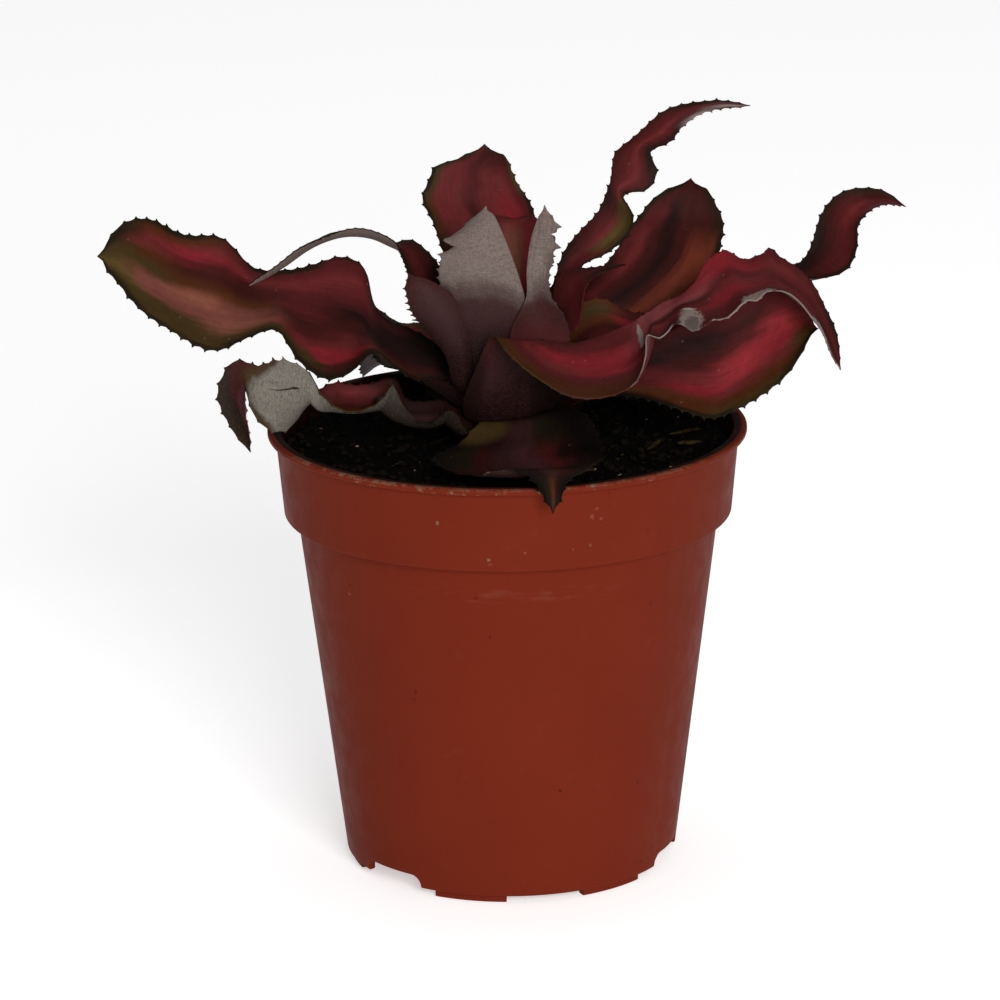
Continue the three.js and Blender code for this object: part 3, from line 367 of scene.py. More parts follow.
class StageSettings(bpy.types.PropertyGroup):
    """Floor, lights and camera."""
    floor: FloatProperty(name="Floor", description="Side of the floor", default=8.0, unit="LENGTH")
    sky: FloatProperty(name="Sky", description="Strength of the white surroundings", default=0.2)
    top: FloatProperty(name="Top light", description="Power of the wide lamp overhead", default=14.0)
    key: FloatProperty(name="Key light", description="Power of the lamp at the front right", default=18.0)
    glow: FloatProperty(name="Floor glow", description="Light from the opal glass under the paper",
                        default=0.5)


EASED = {"interpolation_type": "SMOOTHSTEP"}
COLOURS = {"data_type": "RGBA"}
TIMES = {"operation": "MULTIPLY"}
TIMES_PLUS = {"operation": "MULTIPLY_ADD"}
LARGER = {"operation": "MAXIMUM"}


def add_node(tree, kind, settings=None, inputs=None):
    """Adds a node with its settings, sets or links its inputs, and gives its outputs."""
    node = tree.nodes.new("ShaderNode" + kind)
    for name, value in (settings or {}).items():
        setattr(node, name, value)
    for name, value in (inputs or {}).items():
        if isinstance(value, bpy.types.NodeSocket):
            tree.links.new(value, node.inputs[name])
        else:
            node.inputs[name].default_value = value
    return node.outputs


def new_material(name):
    """An empty node material and its tree."""
    material = bpy.data.materials.new(name)
    material.use_nodes = True
    material.node_tree.nodes.clear()
    return material, material.node_tree


def surfaced(material, inputs):
    """The material, with its surface made from the inputs."""
    shader = add_node(material.node_tree, "BsdfPrincipled", None, inputs)
    add_node(material.node_tree, "OutputMaterial", None, {"Surface": shader["BSDF"]})
    return material


def mask_where(tree, *limits, strength=1.0):
    """A mask where every value is past its limit: a value, where the mask starts and where it is full."""
    mask = strength
    for value, start, full in limits:
        mask = add_node(tree, "MapRange", EASED, {0: value, 1: start, 2: full, 4: mask})[0]
    return mask


def layered(tree, colour, *layers):
    """The colour with others laid over it, each through its mask."""
    for mask, over in layers:
        colour = add_node(tree, "Mix", COLOURS, {0: mask, 6: colour, 7: over})[2]
    return colour


def wandered(tree, value, *drifts):
    """The value moved to and fro, by each noise over the whole reach beside it."""
    for drift, reach in drifts:
        shift = add_node(tree, "Math", TIMES_PLUS, {0: drift, 1: reach, 2: -reach / 2})[0]
        value = add_node(tree, "Math", None, {0: value, 1: shift})[0]
    return value


def with_alpha(colour):
    """Red, green and blue, with full alpha."""
    return (*colour[:3], 1)


def own_colour(name):
    """A colour of the palette as linear red, green, blue and alpha."""
    return with_alpha(linear(PALETTE[name]))


def finish_piece(bm, name, materials, replaced=()):
    """Makes the mesh an object of the scene that rides with the part."""
    mesh = bpy.data.meshes.new(name)
    bm.to_mesh(mesh)
    bm.free()
    mesh.polygons.foreach_set("use_smooth", [True] * len(mesh.polygons))
    for material in materials:
        mesh.materials.append(material)
    piece = bpy.data.objects.new(name, mesh)
    bpy.context.scene.collection.objects.link(piece)
    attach(piece, "root")
    if replaced:
        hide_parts(*replaced)
    return piece


def around(radius, degrees, z):
    """A place on a circle about the pot's axis."""
    angle = math.radians(degrees)
    return Vector((radius * math.cos(angle), radius * math.sin(angle), z))


# Leaves: from edge pairs to blades.

# Heights and radii of the stem, and how a leaf's tab meets it, in mm.
STEM_FOOT, STEM_NECK, STEM_TOP = 70.5, 94, 99
FOOT_RADIUS, NECK_RADIUS, TOP_RADIUS = 4.6, 4.3, 2.2
TAB = {"width": 7.5, "sink": 1.4, "gap": 0.5}
ARCH_ROWS = 10
SAMPLE = 0.25
# A margin is scalloped: points with hollows between them, as shares of the spacing and of the reach.
SCALLOP = ((0.0, 1.0), (0.13, 0.34), (0.5, 0.0), (0.87, 0.34))


def stem_radius(z):
    """Radius of the stem at a height."""
    if z < STEM_NECK:
        return FOOT_RADIUS + (NECK_RADIUS - FOOT_RADIUS) * (z - STEM_FOOT) / (STEM_NECK - STEM_FOOT)
    return NECK_RADIUS + (TOP_RADIUS - NECK_RADIUS) * (z - STEM_NECK) / (STEM_TOP - STEM_NECK)


def edge_pairs(leaf):
    """Pairs of edge places and channel depths, from the tab on the stem to the tip, in mm."""
    direction, z = leaf.at
    centre = around(stem_radius(z) + TAB["gap"], direction, z)
    left = around(TAB["width"] / 2, direction + 90, 0)
    pairs = [(centre + left, centre - left, TAB["sink"])]
    rows = leaf.rows if isinstance(leaf, Leaf) else arching_rows(leaf)
    return pairs + [(Vector(row[:3]), Vector(row[3:6]), row[6]) for row in rows]


def arching_rows(leaf):
    """Rows of a leaf that arches away from the stem and droops, with ruffled edges."""
    direction, z = leaf.at
    heading = around(1, direction, 0)
    leftward = around(1, direction + 90, 0)
    place = around(stem_radius(z) + 1, direction, z)
    rows = []
    for i in range(1, ARCH_ROWS + 1):
        t = i / ARCH_ROWS
        slope = math.radians(leaf.rise - (leaf.rise + leaf.droop) * t ** 1.6)
        place += (heading * math.cos(slope) + Vector((0, 0, math.sin(slope)))) * leaf.length / ARCH_ROWS
        half = max(0.4, leaf.half_width * max(0, math.sin(math.pi * (0.12 + 0.88 * t) ** 0.85)) ** 0.8)
        turn = math.radians(leaf.roll * t)
        across = leftward * math.cos(turn) * half + Vector((0, 0, math.sin(turn) * half))
        wave = 2.6 * TURN * t + leaf.phase
        height = 1.7 * math.sin(math.pi * t)
        left = place + across + Vector((0, 0, 0.6 + height * math.sin(wave)))
        right = place - across + Vector((0, 0, 0.6 + height * math.sin(wave + 2)))
        rows.append((*left, *right, 0.22 * half))
    return rows


def curve_place(points, u):
    """The place at share u of a smooth curve through the points, centripetal so that it doesn't overshoot."""
    last = len(points) - 1
    i = min(int(u * last), last - 1)
    w = u * last - i
    b, c = points[i], points[i + 1]
    a = points[i - 1] if i > 0 else 2 * b - c
    d = points[i + 2] if i + 2 <= last else 2 * c - b
    near, middle, far = ((q - p).length ** 0.5 for p, q in ((a, b), (b, c), (c, d)))
    middle = middle if middle > 1e-2 else 1.0
    near = near if near > 1e-2 else middle
    far = far if far > 1e-2 else middle
    leave = ((b - a) / near - (c - a) / (near + middle) + (c - b) / middle) * middle
    arrive = ((c - b) / middle - (d - b) / (middle + far) + (d - c) / far) * middle
    return (b * (2 * w ** 3 - 3 * w ** 2 + 1) + leave * (w ** 3 - 2 * w ** 2 + w)
            + c * (3 * w ** 2 - 2 * w ** 3) + arrive * (w ** 3 - w ** 2))


def calmed(values, passes):
    """The values with their quick changes evened out; the ends stay."""
    values = list(values)
    for _ in range(passes):
        inner = [(a + 2 * b + c) / 4 for a, b, c in zip(values, values[1:], values[2:])]
        values = [values[0], *inner, values[-1]]
    return values


def even_sections(leaf):
    """The blade's length, and even sections along it: left, right, channel depth and which way is up."""
    lefts, rights, sinks = zip(*edge_pairs(leaf))
    last = len(lefts) - 1
    fine = 24 * last
    edges = [(curve_place(lefts, i / fine), curve_place(rights, i / fine)) for i in range(fine + 1)]
    lengths = [0.0]
    for here, there in zip(edges, edges[1:]):
        lengths.append(lengths[-1] + (there[0] + there[1] - here[0] - here[1]).length / 2)
    count = round(lengths[-1] / SAMPLE)
    left, right, sink = [], [], []
    i = 0
    for k in range(count + 1):
        along = lengths[-1] * k / count
        while i < fine - 1 and lengths[i + 1] < along:
            i += 1
        w = min(1, (along - lengths[i]) / max(1e-6, lengths[i + 1] - lengths[i]))
        left.append(edges[i][0].lerp(edges[i + 1][0], w))
        right.append(edges[i][1].lerp(edges[i + 1][1], w))
        place = (i + w) / fine * last
        j = min(int(place), last - 1)
        sink.append(sinks[j] + (sinks[j + 1] - sinks[j]) * (place - j))
    left, right, sink = calmed(left, 14), calmed(right, 14), calmed(sink, 30)
    up = []
    for k in range(count + 1):
        a, b = max(0, k - 5), min(count, k + 5)
        forward = left[b] + right[b] - left[a] - right[a]
        across = right[k] - left[k]
        # Near the tip the edges are too close to tell which way is up.
        wide = across.length > 1.2 or not up
        up.append(across.cross(forward).normalized() if wide else up[-1])
    return list(zip(left, right, sink, calmed(up, 20))), lengths[-1]


def tooth_rows(length, pitch, bare):
    """Distances of a blade's cross-sections, how far a tooth has risen there, and which tooth it is."""
    plain = [(float(i), 0.0, 0) for i in range(bare)]
    count = max(2, round((length - bare) / pitch))
    step = (length - bare) / count
    rows = [(bare + (k + share) * step, rise, k + round(share))
            for k in range(count) for share, rise in SCALLOP]
    return plain + rows + [(length, 0.0, 0)]


Section = namedtuple("Section", "left right bitten sink up forward along share reach")


def blade_rows(leaf, tooth, bites, seed):
    """Cross-sections of the blade, with the bites into its edges and the reach of the teeth there."""
    sections, total = even_sections(leaf)
    chance = random.Random(seed)
    sizes = [(chance.uniform(0.55, 1.25), chance.uniform(0.55, 1.25)) for _ in range(400)]
    rows = []
    pitch, *reaches, bare = tooth
    for along, rise, k in tooth_rows(total, pitch, bare):
        place = along / total * (len(sections) - 1)
        i = min(int(place), len(sections) - 2)
        left, right, sink, up = (a + (b - a) * (place - i) for a, b in zip(sections[i], sections[i + 1]))
        ahead, behind = sections[min(i + 4, len(sections) - 1)], sections[max(i - 4, 0)]
        forward = (ahead[0] + ahead[1] - behind[0] - behind[1]).normalized()
        middle = (left + right) / 2
        narrow = min(1, 0.12 + (total - along) / 2.5)
        left, right = middle.lerp(left, narrow), middle.lerp(right, narrow)
        inward = (right - left).normalized()
        bitten = [Vector(), Vector()]
        for edge, share, half, depth in bites:
            cut = max(0, 1 - abs(along - share * total) / half) * depth
            bitten[edge > 0] += inward * cut * (-1 if edge else 1)
            if half > 2:
                bitten[edge > 0].z += min(0, cut) * 0.7
        fade = max(0, min(1, (along - bare + 1) / 5)) * min(1, 0.2 + (total - along) / 8)
        reach = [longest * rise * fade * size for longest, size in zip(reaches, sizes[k])]
        rows.append(Section(left, right, bitten, sink, up, forward, along, along / total, reach))
    return rows


def blade_mesh(leaf, tooth, bites, settings, seed):
    """A closed, thin blade: a grid bent onto the sections, toothed, then drawn apart into two faces."""
    rows = blade_rows(leaf, tooth, bites, seed)
    bm = bmesh.new()
    bmesh.ops.create_grid(bm, x_segments=settings.columns, y_segments=len(rows) - 1, size=0.5)
    blade = bm.verts.layers.float_vector.new("blade")
    span = bm.verts.layers.float_vector.new("span")
    order = bm.verts.layers.int.new("order")
    bm.verts.ensure_lookup_table()
    for v in bm.verts:
        row = rows[round((v.co.y + 0.5) * (len(rows) - 1))]
        left, right, bitten, sink, up, forward, along, share, reach = row
        # The columns crowd towards the margins, where the teeth and ruffles are.
        side = 2 * v.co.x
        side = 0.4 * side + 0.6 * math.sin(math.pi / 2 * side)
        half = (right - left).length / 2
        place = left.lerp(right, (side + 1) / 2) - up * sink * (1 - side * side)
        place += bitten[side > 0] * max(0, (abs(side) - 0.3) / 0.7) ** 1.5
        calm = min(1, along / 12) * min(1, (rows[-1].along - along) / 6)
        wave = noise.noise(Vector((along / 8, 3.1 if side > 0 else 9.7, seed * 1.7)))
        place += up * abs(side) ** 2.4 * settings.ruffle / MM * wave * calm
        if abs(side) > 0.999:
            outward = (right - left).normalized() * (1 if side > 0 else -1)
            place += (outward + forward * 0.4 + up * 0.15) * reach[side > 0]
        v.co = place * MM
        v[blade] = (side * half * MM, along * MM, (1 - abs(side)) * half * MM)
        v[span] = ((side + 1) / 2, share, seed * 0.37)
        v[order] = v.index
    bm.normal_update()
    middles = [(v.co.copy(), v.normal.copy(), v[span][1], v[span][0]) for v in bm.verts]
    upper = bm.faces[:]
    shell = bmesh.ops.extrude_face_region(bm, geom=upper, use_keep_orig=True)
    under = {g for g in shell["geom"] if isinstance(g, bmesh.types.BMVert)}
    for v in bm.verts:
        place, normal, share, q = middles[v[order]]
        bulge = (1 - (2 * q - 1) ** 2) * min(1, (1 - share) * 8)
        half = (settings.edge + (settings.thickness - settings.edge) * bulge) / 2
        v.co = place - normal * half if v in under else place + normal * half
    for face in bm.faces:
        if all(v in under for v in face.verts):
            face.material_index = 1
    bmesh.ops.recalc_face_normals(bm, faces=bm.faces[:])
    if bm.calc_volume(signed=True) < 0:
        bmesh.ops.reverse_faces(bm, faces=bm.faces[:])
    bm.verts.layers.int.remove(bm.verts.layers.int["order"])
    return bm


# Leaf finishes.

def stripes_of(tree, text, place):
    """Colours along a value, from text such as '0 shade, 8 olive, 50 red', or shares, from '0 0, 50 100'."""
    colour = add_node(tree, "ValToRGB", None, {"Fac": place})["Color"]
    ramp = colour.node.color_ramp
    ramp.interpolation = "EASE"
    stops = [part.split() for part in text.split(",")]
    ramp.elements.remove(ramp.elements[1])
    for _ in stops[1:]:
        ramp.elements.new(1.0)
    for element, (percent, name) in zip(ramp.elements, stops):
        element.position = float(percent) / 100
        element.color = own_colour(name) if name in PALETTE else with_alpha([float(name) / 100] * 3)
    return colour


def blade_fields(tree):
    """What every leaf finish reads: shares of the blade's width and length, and a place on it in metres."""
    blade = add_node(tree, "Attribute", {"attribute_name": "blade"})["Vector"]
    span = add_node(tree, "Attribute", {"attribute_name": "span"})["Vector"]
    size = add_node(tree, "SeparateXYZ", None, {0: blade})
    across, along, own = add_node(tree, "SeparateXYZ", None, {0: span})
    flat = add_node(tree, "CombineXYZ", None, {0: size["X"], 1: size["Y"], 2: own})[0]
    return across, along, flat


def grain(tree, place, across, along, detail=3.0):
    """Noise on a blade whose features are so many millimetres across it and along it."""
    scale = (1 / (across * MM), 1 / (along * MM), 1.0)
    scaled = add_node(tree, "VectorMath", TIMES, {0: place, 1: scale})[0]
    inputs = {"Vector": scaled, "Scale": 1.0, "Detail": detail, "Roughness": 0.55}
    return add_node(tree, "TexNoise", None, inputs)["Fac"]


SCURF = ("silver", "drab", "ash")


def blot(tree, colour, across, along, patch, ragged=None):
    """The colour with one patch on it: soft, or with a ragged edge where scurf shows through."""
    name, at_across, at_along, half_across, half_along = patch
    x = add_node(tree, "Math", TIMES_PLUS, {0: across, 1: 100 / half_across, 2: -at_across / half_across})[0]
    y = add_node(tree, "Math", TIMES_PLUS, {0: along, 1: 1 / half_along, 2: -at_along / half_along})[0]
    square = add_node(tree, "Math", TIMES, {0: y, 1: y})[0]
    reach = add_node(tree, "Math", TIMES_PLUS, {0: x, 1: x, 2: square})[0]
    limit = (reach, 1.35, 0.2)
    if ragged is not None and name in SCURF:
        limit = (wandered(tree, reach, (ragged, 2.4)), 1.25, 0.5)
    return layered(tree, colour, (mask_where(tree, limit), own_colour(name)))


def upper_finish(name, stripes, patches):
    """Upper face of a leaf: a waxy skin over red and green tissue, striped along the veins."""
    material, tree = new_material("waxy leaf skin, " + name)
    across, along, flat = blade_fields(tree)
    drift = grain(tree, flat, 5, 14, 2.0)
    streak = grain(tree, flat, 0.55, 16)
    patch = grain(tree, flat, 3, 6, 2.0)
    # Slow unevenness lets the stripes wander by a few percent of the width.
    striped = wandered(tree, across, (drift, 0.16), (streak, 0.05))
    lengthwise = wandered(tree, along, (patch, 0.08))
    stations = sorted(stripes)
    colour = stripes_of(tree, stripes[stations[0]], striped)
    for before, after in zip(stations, stations[1:]):
        mask = mask_where(tree, (lengthwise, before, after))
        colour = layered(tree, colour, (mask, stripes_of(tree, stripes[after], striped)))
    calm = wandered(tree, across, (drift, 0.12))
    ragged = grain(tree, flat, 0.9, 0.9)
    for spot in patches:
        colour = blot(tree, colour, calm, along, spot, ragged)
    # Veins and mottling make the tissue lighter and darker by turns.
    veins = add_node(tree, "MapRange", EASED, {0: streak, 1: 0.3, 2: 0.7, 3: 0.94, 4: 1.06})[0]
    cells = grain(tree, flat, 1.3, 1.8, 4.0)
    mottle = add_node(tree, "MapRange", EASED, {0: cells, 1: 0.3, 2: 0.7, 3: 0.92, 4: 1.08})[0]
    light = add_node(tree, "Math", TIMES, {0: veins, 1: mottle})[0]
    colour = add_node(tree, "VectorMath", {"operation": "SCALE"}, {0: colour, "Scale": light})[0]
    # Trichomes: pale scales under a quarter of a millimetre, drawn here and there.
    inputs = {"Vector": flat, "Scale": 1 / (2.6 * MM), "Randomness": 1.0}
    fleck = add_node(tree, "TexVoronoi", None, inputs)["Distance"]
    dots = mask_where(tree, (fleck, 0.1, 0.04), (grain(tree, flat, 9, 9, 1.0), 0.52, 0.64), strength=0.4)
    colour = layered(tree, colour, (dots, own_colour("silver")))
    # Wax makes the skin a little smoother in some places than in others, and the veins stand up in it.
    gloss = add_node(tree, "MapRange", EASED, {0: patch, 1: 0.2, 2: 0.8, 3: 0.5, 4: 0.65})[0]
    relief = add_node(tree, "Math", TIMES_PLUS, {0: grain(tree, flat, 0.4, 0.4), 1: 0.35, 2: streak})[0]
    bump = add_node(tree, "Bump", None, {"Strength": 0.35, "Distance": 0.12 * MM, "Height": relief})[0]
    return surfaced(material, {"Base Color": colour, "Roughness": gloss, "IOR": 1.42,
                               "Specular IOR Level": 0.06, "Normal": bump})


def outer_finish(name, back):
    """Outer face of a leaf: purple-brown tissue under silver scurf, which lies in fine cross rows."""
    material, tree = new_material("scurfy leaf back, " + name)
    across, along, flat = blade_fields(tree)
    drift = grain(tree, flat, 4, 5, 2.0)
    stipple = grain(tree, flat, 0.35, 0.35)
    rows = grain(tree, flat, 1.2, 0.25, 2.0)
    ribs = grain(tree, flat, 0.5, 6)
    # The scurf starts and ends in a bow across the blade.
    middle = add_node(tree, "Math", None, {0: across, 1: -0.5})[0]
    square = add_node(tree, "Math", TIMES, {0: middle, 1: middle})[0]
    bowed = add_node(tree, "Math", TIMES_PLUS, {0: square, 1: 0.3, 2: along})[0]
    lengthwise = wandered(tree, bowed, (drift, 0.08))
    worn_skin = (mask_where(tree, (stipple, 0.45, 0.7), strength=0.5), own_colour("plum"))
    ground = layered(tree, stripes_of(tree, back.tissue, lengthwise), worn_skin)
    ribbed = 0.1 if back.blotched else 0.4
    pale = layered(tree, own_colour(back.scurf),
                   (mask_where(tree, (rows, 0.62, 0.36), strength=0.35), own_colour("drab")),
                   (mask_where(tree, (ribs, 0.6, 0.42), strength=ribbed), own_colour("drab")))
    closed = add_node(tree, "MapRange", EASED, {0: stipple, 1: 0.35, 2: 0.6, 3: 0.7})[0]
    scurf = add_node(tree, "Math", TIMES, {0: stripes_of(tree, back.cover, lengthwise), 1: closed})[0]
    colour = layered(tree, ground, (scurf, pale))
    if back.blotched:
        spots = mask_where(tree, (grain(tree, flat, 2.2, 0.9, 4.0), 0.6, 0.72), strength=back.blotched)
        colour = layered(tree, colour, (spots, own_colour("shade")))
        # The scurf is worn down to the tissue in flecks, and lies thick between them.
        flecks = grain(tree, flat, 0.8, 0.6, 4.0)
        for start, full, share, fleck_colour in ((0.58, 0.68, 0.9, "shade"), (0.42, 0.32, 0.5, "ash")):
            strength = add_node(tree, "Math", TIMES, {0: scurf, 1: share * back.blotched})[0]
            mask = mask_where(tree, (flecks, start, full), strength=strength)
            colour = layered(tree, colour, (mask, own_colour(fleck_colour)))
    wavy = wandered(tree, across, (drift, 0.1))
    for mark in back.marks:
        colour = blot(tree, colour, wavy, along, mark)
    # Scurf is matt and dry, and its rows are just proud enough to catch the light.
    relief = add_node(tree, "Math", None, {0: rows, 1: stipple})[0]
    bump = add_node(tree, "Bump", None, {"Strength": 0.4, "Distance": 0.1 * MM, "Height": relief})[0]
    return surfaced(material, {"Base Color": colour, "Roughness": 0.62, "IOR": 1.42,
                               "Specular IOR Level": 0.15, "Normal": bump})


class EARTHSTAR_OT_leaves(bpy.types.Operator):
    """Builds every leaf with its teeth, ruffles, stripes and scurf"""
    bl_idname = "earthstar.leaves"
    bl_label = "Leaves"

    def execute(self, context):
        settings = context.scene.earthstar_leaf
        for seed, leaf in enumerate(LEAVES, 1):
            bm = blade_mesh(leaf, leaf.tooth, leaf.bites, settings, seed)
            upper = upper_finish(leaf.name, leaf.stripes, leaf.patches)
            finishes = [upper, outer_finish(leaf.name, leaf.outer)]
            finish_piece(bm, leaf.name + "_blade", finishes, [leaf.name])
        finishes = [upper_finish("back", BACK_STRIPES, []), outer_finish("back", SHADED_BACK)]
        for seed, leaf in enumerate(BACK_LEAVES, 101):
            bm = blade_mesh(leaf, (2.1, 0.55, 0.55, 8), [], settings, seed)
            finish_piece(bm, leaf.name + "_blade", finishes, [leaf.name])
        return {"FINISHED"}


# Pot.

def spun_mesh(profile, steps, sweep=TURN, start=0.0):
    """A profile of radius and height in metres, spun about the axis; poles on the axis are closed."""
    bm = bmesh.new()
    verts = [bm.verts.new(around(r, math.degrees(start), z)) for r, z in profile]
    edges = [bm.edges.new(pair) for pair in zip(verts, verts[1:])]
    full = abs(sweep - TURN) < 1e-6
    bmesh.ops.spin(bm, geom=verts + edges, cent=(0, 0, 0), axis=(0, 0, 1), angle=sweep, steps=steps,
                   use_merge=full, use_duplicate=False)
    bmesh.ops.remove_doubles(bm, verts=bm.verts[:], dist=1e-6)
    bmesh.ops.recalc_face_normals(bm, faces=bm.faces[:])
    return bm


def rounded(profile, radii, steps=4):
    """The profile with its corners rounded by the radii given, in metres; 0 keeps a corner."""
    result = []
    for k, (place, radius) in enumerate(zip(profile, radii)):
        here = Vector((*place, 0))
        if not radius or k in (0, len(profile) - 1):
            result.append(place)
            continue
        back = (Vector((*profile[k - 1], 0)) - here).normalized()
        on = (Vector((*profile[k + 1], 0)) - here).normalized()
        half = back.angle(on) / 2
        reach = radius / math.tan(half)
        centre = here + (back + on).normalized() * radius / math.sin(half)
        first, last = here + back * reach - centre, here + on * reach - centre
        for i in range(steps + 1):
            arm = first.normalized().slerp(last.normalized(), i / steps) * radius
            result.append((centre.x + arm.x, centre.y + arm.y))
    return result


# Radii and heights of the pot in mm, and its cuts and feet.
COLLAR_FOOT = 68.0
COLLAR_LOW, COLLAR_HIGH = 42.1, 43.5
BODY_FOOT, BODY_TOP = 31.4, 39.7
SKIRT, UNDERSIDE, FLOOR = 1.4, 4.2, 5.5
LIP = 1.2
LEDGE = 0.6
NOTCH = {"through": 14, "width": 14.3, "height": 3.9, "corner": 2.0}
NOTCH_ANGLES = (224, 342, 102)
DRAINS = {"count": 6, "first": 30, "ring": 19, "radius": 3.2}
PAD = {"inner": 28.6, "outer": 30.6, "top": 2.0, "edge": 0.35}
PAD_SPANS = ((242, 268), (296, 321), (2, 28), (55, 82), (122, 148), (175, 201))


def pot_profile(pot):
    """The moulded wall's outline, from the underside's middle round the rim to the middle of the inside."""
    rim, top, wall = pot.rim_radius / MM, pot.height / MM, pot.wall / MM
    step = wall + LEDGE
    # Each corner: radius, height and how far it is rounded.
    corners = [
        (0, UNDERSIDE, 0), (30.15, UNDERSIDE, 0.5), (29.9, SKIRT, 0.3), (BODY_FOOT, SKIRT, 0.45),
        (BODY_TOP, COLLAR_FOOT, 0.35), (COLLAR_LOW, COLLAR_FOOT, 0.35), (COLLAR_HIGH, top - LIP, 0.5),
        (rim, top - LIP, 0.4), (rim, top, 0.45), (COLLAR_HIGH - wall, top, 0.5),
        (COLLAR_LOW - wall, COLLAR_FOOT + step, 1.0), (39.5 - wall, COLLAR_FOOT - step, 1.0),
        (31.75 - wall, FLOOR, 0.8), (0, FLOOR, 0),
    ]
    return rounded([(r * MM, z * MM) for r, z, _ in corners], [radius * MM for *_, radius in corners])


def turned(bm, angle):
    """The mesh, turned about the pot's axis by an angle in degrees."""
    turn = Matrix.Rotation(math.radians(angle), 3, "Z")
    bmesh.ops.rotate(bm, cent=(0, 0, 0), matrix=turn, verts=bm.verts[:])
    return bm


def notch_cutter(angle):
    """A bar through the skirt with rounded upper corners."""
    bm = bmesh.new()
    bmesh.ops.create_cube(bm, size=1.0)
    size = Vector((NOTCH["through"], NOTCH["width"], 2 * NOTCH["height"])) * MM
    bmesh.ops.scale(bm, vec=size, verts=bm.verts[:])
    upper = [e for e in bm.edges if all(v.co.z > 0 for v in e.verts)]
    upper = [e for e in upper if abs(e.verts[0].co.y - e.verts[1].co.y) < 1e-6]
    bmesh.ops.bevel(bm, geom=upper, offset=NOTCH["corner"] * MM, segments=6, profile=0.5, affect="EDGES",
                    material=-1)
    bmesh.ops.translate(bm, vec=(BODY_FOOT * MM, 0, 0), verts=bm.verts[:])
    return turned(bm, angle)


def drain_cutter(angle):
    """A plug the size of one drain hole."""
    bm = bmesh.new()
    radius = DRAINS["radius"] * MM
    bmesh.ops.create_cone(bm, cap_ends=True, segments=32, radius1=radius, radius2=radius, depth=6 * MM)
    bmesh.ops.translate(bm, vec=(DRAINS["ring"] * MM, 0, UNDERSIDE * MM), verts=bm.verts[:])
    return turned(bm, angle)


def foot_pad(span):
    """One low foot under the skirt: an arc of a bar with a rounded section."""
    low, high = (math.radians(a) for a in span)
    inner, outer, top, edge = (PAD[name] * MM for name in ("inner", "outer", "top", "edge"))
    section = [(inner, top), (inner, 0), (outer, 0), (outer, top), (inner, top)]
    bm = spun_mesh(rounded(section, [0, edge, edge, 0, 0]), 16, high - low, low)
    bmesh.ops.holes_fill(bm, edges=[e for e in bm.edges if e.is_boundary])
    bmesh.ops.recalc_face_normals(bm, faces=bm.faces[:])
    return bm


def joined_with(piece, meshes, operation):
    """Cuts the meshes, which stand clear of each other, from the piece, or joins them to it."""
    tool = bmesh.new()
    for bm in meshes:
        mesh = bpy.data.meshes.new("helper")
        bm.to_mesh(mesh)
        bm.free()
        tool.from_mesh(mesh)
        bpy.data.meshes.remove(mesh)
    mesh = bpy.data.meshes.new("helper")
    tool.to_mesh(mesh)
    tool.free()
    helper = bpy.data.objects.new("helper", mesh)
    bpy.context.scene.collection.objects.link(helper)
    step = piece.modifiers.new("step", "BOOLEAN")
    step.operation = operation
    step.solver = "EXACT"
    step.object = helper
    graph = bpy.context.evaluated_depsgraph_get()
    made = bpy.data.meshes.new_from_object(piece.evaluated_get(graph))
    piece.modifiers.clear()
    old = piece.data
    piece.data = made
    bpy.data.meshes.remove(old)
    bpy.data.objects.remove(helper)
    bpy.data.meshes.remove(mesh)


# Specks on the outside of the pot: colour, direction in degrees, height and size in mm.
POT_MARKS = [
    ("straw", -107.5, 77.1, 0.5), ("straw", -94.9, 70.4, 0.3), ("salmon", -94.7, 69.6, 0.4),
    ("salmon", -86.1, 71.7, 0.4), ("salmon", -74.0, 72.0, 0.4), ("salmon", -69.5, 72.3, 0.45),
    ("salmon", -69.4, 77.8, 0.5), ("salmon", -68.2, 79.3, 0.45), ("salmon", -67.0, 77.2, 0.45),
    ("soot", -118.6, 42.0, 0.45), ("soot", -118.9, 40.4, 0.4), ("soot", -139.1, 60.8, 0.35),
    ("dark", -95.7, 54.4, 0.35), ("straw", -100.5, 62.6, 0.3), ("soot", -99.0, 62.0, 0.3),
    ("dark", -27.8, 54.7, 0.3), ("soot", -74.6, 22.9, 0.3), ("straw", -140.0, 59.0, 0.3),
]


def wall_radius(z):
    """Outside radius of the pot in mm: the collar's above 67 mm, the body's below."""
    return COLLAR_LOW + 0.09 * (z - 67) if z > 67 else BODY_FOOT + 0.1265 * (z - SKIRT)


